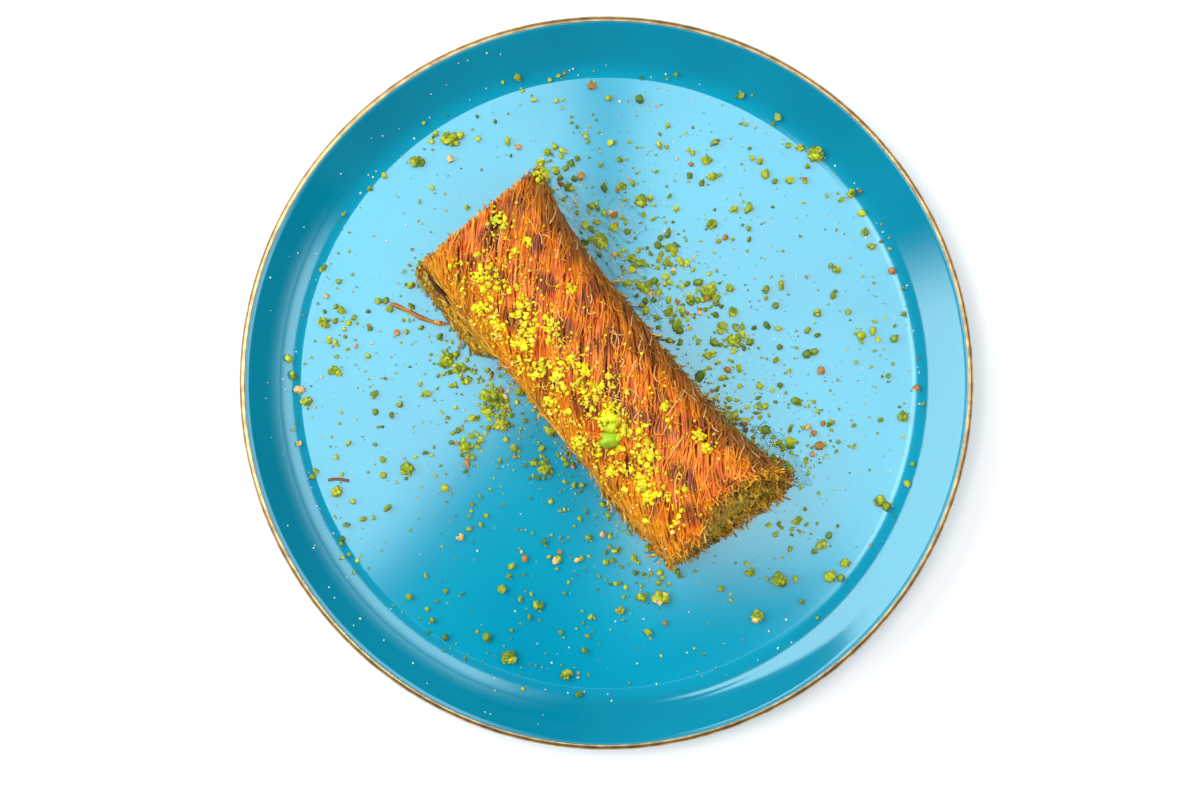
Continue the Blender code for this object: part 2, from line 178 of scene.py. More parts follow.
def turned_rings(profile):
    """Each point (radius, height) of a profile turned round the upright axis, as (n, steps, 3)."""
    angle = np.arange(PLATE_STEPS) / PLATE_STEPS * 2.0 * math.pi
    around = np.stack([np.cos(angle), np.sin(angle)], 1)
    heights = np.broadcast_to(profile[:, None, 1:], (len(profile), PLATE_STEPS, 1))
    return np.concatenate([profile[:, None, :1] * around[None], heights], 2)


def turned(profile):
    """Points and faces of a profile turned round the upright axis; both its ends lie on the axis."""
    points = turned_rings(profile[1:-1]).reshape(-1, 3)
    poles = np.array([[0.0, 0.0, profile[0, 1]], [0.0, 0.0, profile[-1, 1]]])
    index = np.arange(len(points)).reshape(-1, PLATE_STEPS)
    beside = np.roll(index, -1, 1)
    quads = np.stack([index[:-1], index[1:], beside[1:], beside[:-1]], 2).reshape(-1, 4)
    first, last = len(points), len(points) + 1
    cap_in = np.stack([np.full(PLATE_STEPS, first), index[0], beside[0]], 1)
    cap_out = np.stack([np.full(PLATE_STEPS, last), beside[-1], index[-1]], 1)
    return np.concatenate([points, poles]), quads, np.concatenate([cap_in, cap_out])


def closed_tube(rows):
    """Faces of a stack of rings whose last ring joins the first, as on a pipe with a bore."""
    index = np.arange(rows.shape[0] * rows.shape[1]).reshape(rows.shape[:2])
    beside, under = np.roll(index, -1, 1), np.roll(index, -1, 0)
    quads = np.stack([index, beside, np.roll(under, -1, 1), under], 2).reshape(-1, 4)
    return rows.reshape(-1, 3), quads


def fill_lean_ramp(ramp, first, last):
    """Fills a ramp over the radii from first to last with how far the mirroring leans out, plus a half.

    The face's own direction leans in by the sine s of its slope, and up by the cosine c. Adding
    s - c tan(slope) of the outward direction gives it the slope that GLOSS_SLOPES states there."""
    for k, (radius, slope) in enumerate(GLOSS_SLOPES):
        rise = min(max((radius * MM - FLOOR_RADIUS) / FLOOR_FILLET, 0.0), math.sin(WALL_LEAN))
        lean_in = math.tan(math.radians(slope)) * math.sqrt(1.0 - rise**2) - rise
        position = (radius * MM - first) / (last - first)
        if 0 < k < len(GLOSS_SLOPES) - 1:
            stop = ramp.elements.new(position)
        else:
            stop = ramp.elements[0 if k == 0 else len(ramp.elements) - 1]
            stop.position = position
        stop.color = (0.5 - lean_in, 0.5 - lean_in, 0.5 - lean_in, 1.0)


lean = math.degrees(WALL_LEAN)
fillet = arc((FLOOR_RADIUS, FLOOR_TOP + FLOOR_FILLET), FLOOR_FILLET, -90, lean - 90, 18)
lip_centre = (PLATE_RADIUS - LIP_RADIUS, PLATE_HEIGHT - LIP_RADIUS)
lip = arc(lip_centre, LIP_RADIUS, 90 + lean, lean - 90, 22)
floor_line = np.stack([np.linspace(0.0, FLOOR_RADIUS, 16)[:-1], np.full(15, FLOOR_TOP)], 1)
wall_line = fillet[-1] + np.linspace(0.0, 1.0, 8)[1:-1, None] * (lip[0] - fillet[-1])
wall_back = fillet[-1] + WALL_THICKNESS * np.array([math.sin(WALL_LEAN), -math.cos(WALL_LEAN)])
profile = np.concatenate([floor_line, fillet, wall_line, lip, [wall_back], np.array(UNDERSIDE) * MM])
points, quads, triangles = turned(profile[::-1])

glaze, nodes, links, shader = new_material("turquoise glaze", GLAZE_ROUGHNESS)
shader.inputs["Specular IOR Level"].default_value = GLAZE_SHINE
shader.inputs["Specular Tint"].default_value = (*SHINE_TINT, 1.0)
place = noise_colour(nodes, links, shader, MOTTLE_SCALE, GLAZE_DEEP, GLAZE_LIGHT)
flat = combine_directions(nodes, links, "MULTIPLY", place.outputs["Object"], (1.0, 1.0, 0.0))
radius = combine_directions(nodes, links, "LENGTH", flat)
deepen = nodes.new("ShaderNodeMix")
deepen.data_type = "RGBA"
deepen.blend_type = "MULTIPLY"
deepen.inputs[7].default_value = (*WALL_TINT, 1.0)
links.new(map_range(nodes, links, radius, *WALL_TINT_REACH), deepen.inputs[0])
links.new(shader.inputs["Base Color"].links[0].from_socket, deepen.inputs[6])
links.new(deepen.outputs[2], shader.inputs["Base Color"])

gloss_from, gloss_to = GLOSS_SLOPES[0][0] * MM, GLOSS_SLOPES[-1][0] * MM
lean_ramp = nodes.new("ShaderNodeValToRGB")
fill_lean_ramp(lean_ramp.color_ramp, gloss_from, gloss_to)
links.new(map_range(nodes, links, radius, gloss_from, gloss_to), lean_ramp.inputs["Fac"])
lean_out = combine(nodes, links, "SUBTRACT", lean_ramp.outputs["Color"], 0.5)
outward = combine_directions(nodes, links, "NORMALIZE", flat)
lean_out = combine_directions(nodes, links, "SCALE", outward, lean_out)
leaned = combine_directions(nodes, links, "ADD", place.outputs["Normal"], lean_out)
links.new(combine_directions(nodes, links, "NORMALIZE", leaned), shader.inputs["Normal"])
plate = add_mesh("glazed_plate", points, quads, glaze, triangles)

gold, nodes, links, shader = new_material("gilding", roughness=0.32, colour=GILDING, metallic=0.9)
noise_colour(nodes, links, shader, WEAR_SCALE, GILDING_WORN, GILDING)
outer = arc(lip_centre, LIP_RADIUS + GOLD_PROUD, GOLD_FROM, GOLD_TO, 13)
inner = arc(lip_centre, LIP_RADIUS - GOLD_PROUD, GOLD_TO, GOLD_FROM, 5)
points, quads = closed_tube(turned_rings(np.concatenate([outer, inner])))
rim = add_mesh("gilded_rim", points, quads, gold)

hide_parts("plate")
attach(plate, "root")
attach(rim, "root")


# Body of the roll
#
# The dense inside of the wound pastry, as one closed body that the shreds lie on. Its oval section
# turns with the winding and both its cuts slant; low on its near side the lowest layer gapes.
# Its near-black brown is painted shade, seen in the gaps between the shreds.

ROLL_PLACE = np.array([-0.8, 5.4, 0.0]) * MM
ROLL_TURN = math.radians(-50.8)
ROLL_LENGTH = 107 * MM
ROLL_HALF_WIDTH = 18.6 * MM
ROLL_HALF_HEIGHT = 15 * MM
ROLL_MIDDLE = FLOOR_TOP + 0.3 * MM + ROLL_HALF_HEIGHT
ROLL_FLARE, ROLL_BOW = 2.2 * MM, -3.2 * MM
ROUND_TOP, FLAT_UNDERSIDE = 2.2, 3.2
HEAD_SLANT, TAIL_SLANT, TAIL_SKEW = 0.8 * MM, 6.5 * MM, 2.5 * MM
TAIL_BITE = 4.6 * MM
WIND = math.tan(math.radians(39))
FLAPS = ((-0.06, 0.32, 7.5 * MM), (0.70, 0.94, 3.5 * MM))
FLAP_EDGE = 0.07
BODY_DEPTH, BODY_RELIEF = 1.35 * MM, 0.25 * MM
FILLING_HALF_WIDTH, FILLING_HALF_HEIGHT = 9.5 * MM, 6.0 * MM
BORE_GAP = 0.3 * MM
BODY_RINGS, BODY_COLUMNS = 56, 72
# The body's two colours are painted shade, darker than any shred, for the gaps between the shreds.
BODY_SHADE_DARK, BODY_SHADE_BROWN = (0.045, 0.012, 0.003), (0.17, 0.06, 0.012)
random = np.random.default_rng(7)


def add_bump(nodes, links, shader, place, scale, distance):
    """A fine relief from a noise over the object's own coordinates."""
    noise = nodes.new("ShaderNodeTexNoise")
    noise.inputs["Scale"].default_value = scale
    noise.inputs["Detail"].default_value = 2.0
    bump = nodes.new("ShaderNodeBump")
    bump.inputs["Distance"].default_value = distance
    links.new(place.outputs["Object"], noise.inputs["Vector"])
    links.new(noise.outputs["Fac"], bump.inputs["Height"])
    links.new(bump.outputs["Normal"], shader.inputs["Normal"])


def smooth_step(low, high, value):
    """0 where the value is at low, 1 where it is at high, and an easy rise between; low may be more."""
    share = np.clip((value - low) / (high - low), 0.0, 1.0)
    return share * share * (3.0 - 2.0 * share)


def section_table():
    """The oval section by its share of the girth: across, up and outward direction, and the girth."""
    angle = np.linspace(0.0, 2.0 * math.pi, 2881)
    cosine, sine = np.cos(angle), np.sin(angle)
    power = np.where(sine >= 0.0, ROUND_TOP, FLAT_UNDERSIDE)
    across = ROLL_HALF_WIDTH * np.sign(cosine) * np.abs(cosine) ** (2.0 / power)
    up = ROLL_HALF_HEIGHT * np.sign(sine) * np.abs(sine) ** (2.0 / power)
    run = np.concatenate([[0.0], np.cumsum(np.hypot(np.diff(across), np.diff(up)))])
    out_across = np.sign(across) * np.abs(across / ROLL_HALF_WIDTH) ** (power - 1.0) / ROLL_HALF_WIDTH
    out_up = np.sign(up) * np.abs(up / ROLL_HALF_HEIGHT) ** (power - 1.0) / ROLL_HALF_HEIGHT
    size = np.hypot(out_across, out_up)
    return run / run[-1], across, up, out_across / size, out_up / size, run[-1]


RUN, ACROSS, UP, OUT_ACROSS, OUT_UP, GIRTH = section_table()


def half_width_at(share):
    """The roll is narrowest in the middle and flares at both cuts; share runs from 0 to 1."""
    return ROLL_HALF_WIDTH + ROLL_FLARE * (2.0 * share - 1.0) ** 4


def bow_at(share):
    """The roll lies a little bowed: its middle stands off the line between its ends."""
    return ROLL_BOW * (1.0 - np.clip(2.0 * share - 1.0, -1.0, 1.0) ** 4)


def along_roll(share, across, up):
    """Where a share of the way between the slanting cuts lies along the roll."""
    depth = 0.5 - 0.5 * up / ROLL_HALF_HEIGHT
    head = -0.5 * ROLL_LENGTH - HEAD_SLANT * depth
    tail = 0.5 * ROLL_LENGTH + depth * (TAIL_SLANT + TAIL_SKEW * across / ROLL_HALF_WIDTH)
    torn = smooth_step(-10 * MM, -2 * MM, across) * (1.0 - 0.45 * smooth_step(9 * MM, 19 * MM, across))
    tail = tail - TAIL_BITE * torn * (1.0 - depth) * smooth_step(0.6, 1.0, share)
    return head + share * (tail - head)


def flap_at(share):
    """How far the lowest layer stands out on the near side, rising and falling along each flap."""
    reach_here = 0.0
    for start, end, reach in FLAPS:
        rise = smooth_step(start, start + FLAP_EDGE, share)
        fall = smooth_step(end, end - FLAP_EDGE, share)
        reach_here = reach_here + reach * rise * fall
    return reach_here


def on_roll(share, turn, lift, flap=0.0, floor=0.3 * MM):
    """Points on the roll's skin, in the roll's own frame, and the outward direction at each.

    Share runs from cut to cut, turn round the girth from the far side over the top, and lift is
    the height above the skin. Flap is how much of the gaping lowest layer the points follow, and
    floor is how far they stay above the underside."""
    turn = np.mod(turn, 1.0)
    width = half_width_at(share)
    out_across, out_up = np.interp(turn, RUN, OUT_ACROSS), np.interp(turn, RUN, OUT_UP)
    across = np.interp(turn, RUN, ACROSS) * width / ROLL_HALF_WIDTH + lift * out_across
    up = np.interp(turn, RUN, UP) + lift * out_up
    along = along_roll(share, across, up)
    low_side = smooth_step(0.0, -0.9, up / ROLL_HALF_HEIGHT) * smooth_step(0.3, 0.9, -across / width)
    across = across - flap * flap_at(share) * low_side + bow_at(share)
    up = np.maximum(up, floor - ROLL_HALF_HEIGHT)
    outward = np.stack([np.zeros_like(out_across), out_across, out_up], -1)
    return np.stack([along, across, up], -1), outward


def to_plate(points):
    """From the roll's own frame to where the roll lies on the plate."""
    cosine, sine = math.cos(ROLL_TURN), math.sin(ROLL_TURN)
    x = points[..., 0] * cosine - points[..., 1] * sine
    y = points[..., 0] * sine + points[..., 1] * cosine
    return np.stack([x, y, points[..., 2] + ROLL_MIDDLE], -1) + ROLL_PLACE


def wound(share, turn):
    """The turn that a shred has reached, when it starts at this turn and winds along the roll."""
    return turn + WIND * ROLL_LENGTH * share / GIRTH


def closed_rings(rows):
    """Faces round a stack of rings, with a fan to the middle at each end; the middles come last."""
    count, columns = rows.shape[:2]
    index = np.arange(count * columns).reshape(count, columns)
    beside = np.roll(index, -1, 1)
    quads = np.stack([index[:-1], beside[:-1], beside[1:], index[1:]], 2).reshape(-1, 4)
    middles = np.stack([rows[0].mean(0), rows[-1].mean(0)])
    first, last = count * columns, count * columns + 1
    start = np.stack([np.full(columns, first), beside[0], index[0]], 1)
    end = np.stack([np.full(columns, last), index[-1], beside[-1]], 1)
    return np.concatenate([rows.reshape(-1, 3), middles]), quads, np.concatenate([start, end])


def bore_wall(share, angle, gap):
    """The oval hole through the roll, or with no gap the filling's side, in the roll's own frame."""
    across = (FILLING_HALF_WIDTH + gap) * np.cos(angle)
    up = (FILLING_HALF_HEIGHT + gap) * np.sin(angle)
    return np.stack([along_roll(share, across, up), across + bow_at(share), up], -1)


share = np.linspace(0.006, 0.994, BODY_RINGS)[:, None]
turn = wound(share, np.arange(BODY_COLUMNS)[None] / BODY_COLUMNS)
relief = BODY_RELIEF * random.uniform(-1.0, 1.0, (BODY_RINGS, BODY_COLUMNS))
skin, _ = on_roll(share + 0.0 * turn, turn, relief - BODY_DEPTH, flap=1.0, floor=0.5 * MM)
bore = bore_wall(share, 2.0 * math.pi * turn, BORE_GAP)
tail_face = [bore[-1:] + q * (skin[-1:] - bore[-1:]) for q in (0.7, 0.35)]
head_face = [bore[:1] + q * (skin[:1] - bore[:1]) for q in (0.35, 0.7)]
points, quads = closed_tube(to_plate(np.concatenate([skin, *tail_face, bore[::-1], *head_face])))

body_shade_finish, nodes, links, shader = new_material("pastry in painted shade", roughness=0.6)
place = noise_colour(nodes, links, shader, scale=350.0, low=BODY_SHADE_DARK, high=BODY_SHADE_BROWN)
add_bump(nodes, links, shader, place, scale=1500.0, distance=0.0004)
roll_body = add_mesh("roll_body", points, quads, body_shade_finish)
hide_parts("kadayif_roll")
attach(roll_body, "root")


# Filling
#
# Ground pistachio pressed into an oval rod through the middle of the roll. It shows at both cuts,
# where it is crumbly and stands out a little.

FILLING_GREEN, FILLING_YELLOW = (0.30, 0.17, 0.010), (0.96, 0.52, 0.02)
FILLING_ROWS, FILLING_COLUMNS = 60, 72
FILLING_RELIEF, FACE_RELIEF = 0.18 * MM, 0.25 * MM
FACE_RINGS = ((0.88, 0.35), (0.7, 0.6), (0.5, 0.75), (0.25, 0.8))

share = np.linspace(-0.002, 1.002, FILLING_ROWS)[:, None]
angle = np.arange(FILLING_COLUMNS)[None] / FILLING_COLUMNS * 2.0 * math.pi
relief = FILLING_RELIEF * random.uniform(-1.0, 1.0, (FILLING_ROWS, FILLING_COLUMNS))
rows = bore_wall(share, angle, relief)
head, tail = [], []
for scale, bulge in FACE_RINGS:
    for i, way, ends in ((0, -1.0, head), (-1, 1.0, tail)):
        middle = rows[i].mean(0)
        ring = middle + scale * (rows[i] - middle)
        ring[:, 0] += way * (bulge * MM + FACE_RELIEF * random.uniform(-1.0, 1.0, FILLING_COLUMNS))
        ends.append(ring)
rows = np.concatenate([np.array(head[::-1]), rows, np.array(tail)])
points, quads, triangles = closed_rings(to_plate(rows))

paste, nodes, links, shader = new_material("ground pistachio", roughness=0.6)
place = noise_colour(nodes, links, shader, scale=900.0, low=FILLING_GREEN, high=FILLING_YELLOW)
add_bump(nodes, links, shader, place, scale=1800.0, distance=0.0006)
filling = add_mesh("filling", points, quads, paste, triangles)
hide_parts("pistachio_filling")
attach(filling, "root")


# Shreds
#
# Thin round threads of dough, fried golden to red-brown and wetted with syrup. Each winds a part of
# the way round the roll and dives under its neighbours at both ends.

SHRED_WIDTH = (0.55 * MM, 0.95 * MM)
UNDER_SHREDS, OUTER_SHREDS, TOP_SHREDS = 800, 960, 560
RED_BROWN, ORANGE, GOLDEN = (0.68, 0.115, 0.018), (1.00, 0.320, 0.018), (1.00, 0.460, 0.018)
DARK_PATCH, FAR_SIDE_SHADE = (0.20, 0.040, 0.022), (0.30, 0.110, 0.012)


def tubes(lines, outward, radius, sides):
    """Round threads along lines (n, m, 3), with closed ends. Outward (n, m, 3) sets each ring's turn."""
    count, steps = lines.shape[:2]
    tangent = np.gradient(lines, axis=1)
    tangent /= np.linalg.norm(tangent, axis=2, keepdims=True) + 1e-12
    across = np.cross(tangent, outward)
    across /= np.linalg.norm(across, axis=2, keepdims=True) + 1e-12
    up = np.cross(across, tangent)
    angle = np.arange(sides) / sides * 2.0 * math.pi
    ring = (np.cos(angle)[None, None, :, None] * across[:, :, None]
            + np.sin(angle)[None, None, :, None] * up[:, :, None])
    points = lines[:, :, None] + radius[:, :, None, None] * ring
    index = np.arange(count * steps * sides).reshape(count, steps, sides)
    beside = np.roll(index, -1, 2)
    quads = np.stack([index[:, :-1], beside[:, :-1], beside[:, 1:], index[:, 1:]], 3).reshape(-1, 4)
    tips = np.stack([lines[:, 0], lines[:, -1]], 1).reshape(-1, 3)
    tip = count * steps * sides + np.arange(2 * count).reshape(count, 2, 1)
    start = np.stack([np.broadcast_to(tip[:, 0], (count, sides)), beside[:, 0], index[:, 0]], 2)
    end = np.stack([np.broadcast_to(tip[:, 1], (count, sides)), index[:, -1], beside[:, -1]], 2)
    caps = np.concatenate([start, end]).reshape(-1, 3)
    return np.concatenate([points.reshape(-1, 3), tips]), quads, caps


def waves(places, size, seed):
    """A smooth unevenness from -1 to 1 over places (..., k): the mean of eight slanting sine waves."""
    own = np.random.default_rng(seed)
    ways = own.normal(size=(8, places.shape[-1]))
    ways /= np.linalg.norm(ways, axis=1, keepdims=True)
    pace = 2.0 * math.pi / (size * own.uniform(0.6, 1.6, 8))
    total = sum(np.sin(pace[i] * (places @ ways[i]) + own.uniform(0, 6.28)) for i in range(8))
    return total / 3.2


def mix(first, second, share):
    """From the first colour to the second by share (...), as rows of colour."""
    share = np.clip(share, 0.0, 1.0)[..., None]
    return np.asarray(first) * (1.0 - share) + np.asarray(second) * share


def baked_colour(points, own):
    """Orange and red-brown on top, golden towards the near side, and low on the far side an
    olive-brown that is painted shade.

    Points are in the roll's own frame, and own is from -1 to 1 for each thread. Patches some
    10 mm across are darker, almost plum."""
    side = (points[..., 1] - bow_at(0.5 + points[..., 0] / ROLL_LENGTH)) / ROLL_HALF_WIDTH
    patch = waves(points[..., :2], 12 * MM, 3)
    fine = waves(points, 3 * MM, 4)
    colour = mix(RED_BROWN, ORANGE, 0.46 + 0.6 * own + 0.45 * fine)
    near = smooth_step(-0.5, -0.98, side)
    colour = mix(colour, GOLDEN, near * (0.65 + 0.3 * own) + 0.35 * np.clip(own, 0, 1) ** 4)
    dark = smooth_step(-0.05, 0.7, patch + 0.3 * fine) * (1.0 - 0.8 * near)
    colour = mix(colour, DARK_PATCH, dark * (0.72 - 0.45 * own))
    # Painted shade: the far side is darkened towards olive-brown.
    return mix(colour, FAR_SIDE_SHADE, smooth_step(0.62, 1.0, side) * (0.85 - 0.25 * own))


def give_colour(obj, colour):
    """Stores a colour (n, 3) for each point of the object's mesh."""
    layer = obj.data.color_attributes.new("shade", "FLOAT_COLOR", "POINT")
    rgba = np.concatenate([np.clip(colour, 0.0, 1.0), np.ones((len(colour), 1))], 1)
    layer.data.foreach_set("color", rgba.astype(np.float32).ravel())


def tube_colour(colour, sides):
    """The colours of lines (n, m, 3) repeated round every ring, and then at both tips."""
    tips = np.stack([colour[:, 0], colour[:, -1]], 1).reshape(-1, 3)
    return np.concatenate([np.repeat(colour.reshape(-1, 3), sides, 0), tips])


def shaded_material(name, roughness, coat, coat_roughness):
    """A surface that takes its base colour from the colour stored in the mesh."""
    material, nodes, links, shader = new_material(name, roughness)
    stored = nodes.new("ShaderNodeVertexColor")
    stored.layer_name = "shade"
    links.new(stored.outputs["Color"], shader.inputs["Base Color"])
    shader.inputs["Coat Weight"].default_value = coat
    shader.inputs["Coat Roughness"].default_value = coat_roughness
    return material, shader


shred_finish, shader = shaded_material("baked shred", roughness=0.42, coat=0.45, coat_roughness=0.06)
shader.inputs["Specular IOR Level"].default_value = 0.1


def add_threads(name, lines, outward, radius, colour, sides):
    """Adds threads along lines (n, m, 3) in the roll's own frame, as one piece of the baked pastry."""
    points, quads, caps = tubes(lines, outward, radius, sides)
    piece = add_mesh(name, to_plate(points), quads, shred_finish, caps)
    give_colour(piece, tube_colour(colour, sides))
    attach(piece, "root")


def draw(low, high, count):
    """A random value from low to high for each of so many threads, as a column."""
    return random.uniform(low, high, (count, 1))


def vary(size, count):
    """A random value round nought for each of so many threads, as a column."""
    return random.normal(0.0, size, (count, 1))


def shred_layer(name, count, lift, length, wander, steps, seed, flap=0.0, shade=1.0):
    """One layer of wound shreds.

    Lift, and length as a share of the roll, are ranges; wander is how far shreds sway sideways,
    steps is how many rings each has, and shade is a painted shade that darkens the layers that lie
    deep. Within a layer, shreds that lie lower are painted redder and darker too. A shred winds
    with the roll, sways by a sum of waves, and dips under its neighbours at both its ends."""
    begin = random.uniform(-0.3, 0.98, count)
    end = begin + random.uniform(*length, count)
    ragged = random.uniform(-0.012, 0.010, (2, count))
    ragged = ragged - [[0.0], [0.012]] * random.uniform(0.0, 1.6, (2, count)) ** 2
    first, last = np.maximum(begin, ragged[0]), np.minimum(end, 1.0 + ragged[1])
    keep = last - first > 0.05
    first, last, begin, end = first[keep], last[keep], begin[keep], end[keep]
    count = len(first)
    step = np.linspace(0.0, 1.0, steps)[None]
    share = first[:, None] + (last - first)[:, None] * step
    start = draw(0.0, 1.0, count)
    way = draw(0.0, 1.0, count)

    def uneven(pace, apart, own_seed):
        """Waves along each shred, unlike those of the others."""
        return waves(np.stack([share * pace, apart + 0.0 * share], -1), 1.0, own_seed)

    sway = uneven(3.0, start * 30.0, seed)
    sway = sway + 0.5 * uneven(8.0, way * 50.0, seed + 1)
    sway = sway + 0.3 * uneven(19.0, way * 90.0, seed + 4)
    slope = vary(0.12, count) * (share - share.mean(1, keepdims=True))
    turn = wound(share, start) + wander * sway / GIRTH + slope
    dip_start = np.where(begin > 0.0, 1.0, 0.0)[:, None] * smooth_step(0.2, 0.0, step)
    dip_end = np.where(end < 1.0, 1.0, 0.0)[:, None] * smooth_step(0.8, 1.0, step)
    height = draw(*lift, count) + 0.18 * MM * uneven(14.0, way * 40.0, seed + 2)
    lift_here = height - 0.7 * MM * (dip_start + dip_end)
    radius = 0.5 * draw(*SHRED_WIDTH, count) * (1.0 + 0.14 * uneven(20.0, way * 60.0, seed + 3))
    lines, outward = on_roll(share, turn, lift_here, flap, floor=0.55 * MM)
    # Painted shade: a shred that lies lower than its layer's middle gets a lower own value, so it is redder
    # and darker.
    own = 0.8 * draw(-1.0, 1.0, count) + 0.3 * (lift_here - np.mean(lift)) / (lift[1] - lift[0])
    add_threads(name, lines, outward, radius, shade * baked_colour(lines, own), 4)


# The under layer at half brightness and the outer layer a little darker: painted shade deep among the
# shreds.
shred_layer("under_shreds", UNDER_SHREDS, lift=(-1.0 * MM, -0.5 * MM), length=(0.25, 0.6),
            wander=0.5 * MM, steps=21, seed=41, flap=0.6, shade=0.5)
shred_layer("outer_shreds", OUTER_SHREDS, lift=(-0.6 * MM, 0.0 * MM), length=(0.15, 0.4),
            wander=0.6 * MM, steps=23, seed=11, shade=0.88)
shred_layer("top_shreds", TOP_SHREDS, lift=(-0.3 * MM, 0.25 * MM), length=(0.08, 0.26),
            wander=0.95 * MM, steps=22, seed=71)


# Cut ends
#
# Both ends of the roll are sawn across, so that the wound layers show as frayed stubs of shred that
# stand out of the cut, round the filling.

STUBS_AT_HEAD, STUBS_AT_TAIL, CURLS_AT_TAIL, FRINGE_AT_TAIL = 900, 620, 900, 420
STUB_POINTS = 8
STUB_GOLD, STUB_OLIVE, STUB_BROWN = (1.0, 0.52, 0.02), (0.70, 0.38, 0.014), (0.32, 0.12, 0.010)
# The pale thread colour is partly a painted glint, on stubs, hairs and frizz.
PALE_GLINT_THREAD, STUB_SHADE = (1.0, 0.74, 0.30), (0.10, 0.045, 0.006)


def inside_roll(share, turn, depth):
    """Points between the bore (depth 0) and the skin (depth 1), in the roll's own frame."""
    skin, outward = on_roll(share, turn, -0.5 * MM, flap=0.7, floor=0.6 * MM)
    bore = bore_wall(share, 2.0 * math.pi * turn, BORE_GAP)
    return bore + depth[..., None] * (skin - bore), outward


def cut_end(name, count, at, reach, fray, length, first_depth=0.0):
    """Stubs that start inside the roll and stand out of one cut, each curled its own way.

    A stub runs straight with the winding, bends off by the square of the way along it, and curls
    by a sine. Reach and length are ranges, and first_depth keeps stubs away from the bore."""
    step = np.linspace(0.0, 1.0, STUB_POINTS)[None]
    way = 1.0 if at > 0.5 else -1.0
    tip = draw(*reach, count)
    share = at + way * (tip - draw(*length, count) * (1.0 - step)) / ROLL_LENGTH
    depth = np.sqrt(draw(first_depth**2, 1.0, count)) + 0.0 * step
    turn = draw(0.0, 1.0, count) + 0.7 * (wound(share, 0.0) - wound(at, 0.0))
    lines, outward = inside_roll(share, turn, depth)
    bend = random.normal(0.0, fray, (count, 1, 3)) * np.array([0.5, 1.0, 0.8])
    curl = random.normal(0.0, 0.45 * fray, (count, 1, 3))
    lines = lines + bend * (step**2)[..., None] + curl * np.sin(2.5 * math.pi * step)[..., None]
    lines[..., 2] = np.maximum(lines[..., 2], 0.6 * MM - ROLL_HALF_HEIGHT)
    radius = 0.5 * draw(0.4, 0.85, count) * MM * (1.0 - 0.35 * step)
    own = draw(0.0, 1.0, count) + 0.0 * step
    colour = mix(mix(STUB_OLIVE, STUB_GOLD, own), STUB_BROWN, 0.55 - 1.6 * depth * own)
    # The palest stubs are partly painted glints.
    colour = mix(colour, PALE_GLINT_THREAD, smooth_step(0.85, 1.0, own))
    patch = waves(lines, 3.5 * MM, 9)
    colour = mix(colour, STUB_GOLD, 0.7 * smooth_step(0.1, 0.9, patch))
    colour = mix(colour, STUB_SHADE, 0.75 * smooth_step(0.0, -0.8, patch))
    colour = mix(colour, baked_colour(lines, 2.0 * own - 1.0), smooth_step(0.9, 1.0, depth))
    add_threads(name, lines, outward, radius, colour, 4)


cut_end("head_stubs", STUBS_AT_HEAD, at=0.0, reach=(-0.4 * MM, 0.9 * MM), fray=0.9 * MM,
        length=(2.5 * MM, 4.5 * MM))
cut_end("tail_stubs", STUBS_AT_TAIL, at=1.0, reach=(-1.4 * MM, 0.9 * MM), fray=0.8 * MM,
        length=(3.5 * MM, 6.5 * MM))
cut_end("tail_curls", CURLS_AT_TAIL, at=1.0, reach=(-0.4 * MM, 1.2 * MM), fray=1.6 * MM,
        length=(1.6 * MM, 3.2 * MM), first_depth=0.08)
cut_end("tail_fringe", FRINGE_AT_TAIL, at=1.0, reach=(-1.5 * MM, 2.2 * MM), fray=1.0 * MM,
        length=(2.5 * MM, 4.5 * MM), first_depth=0.86)


# Loose shreds
#
# The lowest layer gapes on the near side and its shreds hang out there; thin broken hairs stand off
# the roll all over, a tuft hangs from the near corner, and one shred has slipped onto the plate.

# The crack shreds' near-black colour is painted shade for the gap over the flap.
CRACK_SHREDS, CRACK_SHADE_COLOUR = 12, (0.07, 0.022, 0.006)
CRACK, CRACK_TURN, CRACK_RADIUS = (0.01, 0.13), 0.522, 0.27 * MM
FLAP_SHREDS = ((150, -0.01, 0.30), (60, 0.70, 0.94))
HAIRS = 2200
FRIZZ = ((420, 0.30, 1.0, 0.90, 1.02), (200, 0.30, 0.95, 0.50, 0.57), (300, -0.01, 0.31, 0.54, 0.64),
         (140, 0.68, 0.95, 0.49, 0.60))
TUFT_PLACE, TUFT_SHREDS = (55.0, -19.5), 130
STRAY_ROUTE = ((-31, -9), (-33.5, -18), (-36, -25), (-38.5, -29), (-43, -32), (-48, -34.2),
               (-52.5, -36.4))
STRAY_SHREDS, STRAY_POINTS = 14, 40
STRAY_BROWN, STRAY_ORANGE = (0.30, 0.11, 0.02), (0.62, 0.27, 0.06)

# Near-black shreds in the gap over the flap, by the far cut: painted shade.
step = np.linspace(0.0, 1.0, 16)[None]
share = CRACK[0] + (CRACK[1] - CRACK[0]) * (0.5 * draw(0.0, 1.0, CRACK_SHREDS) + 0.5 * step)
turn = CRACK_TURN + 0.003 * random.normal(size=(CRACK_SHREDS, 1))
turn = turn + 0.004 * waves(share[..., None] * 9.0, 1.0, 8)
lines, outward = on_roll(share, turn, 0.35 * MM + 0.0 * share, flap=1.0, floor=0.5 * MM)
radius = CRACK_RADIUS * np.sin(math.pi * (0.08 + 0.84 * step)) + 0.0 * share
add_threads("crack_shade_shreds", lines, outward, radius, np.zeros(lines.shape) + np.array(CRACK_SHADE_COLOUR), 4)

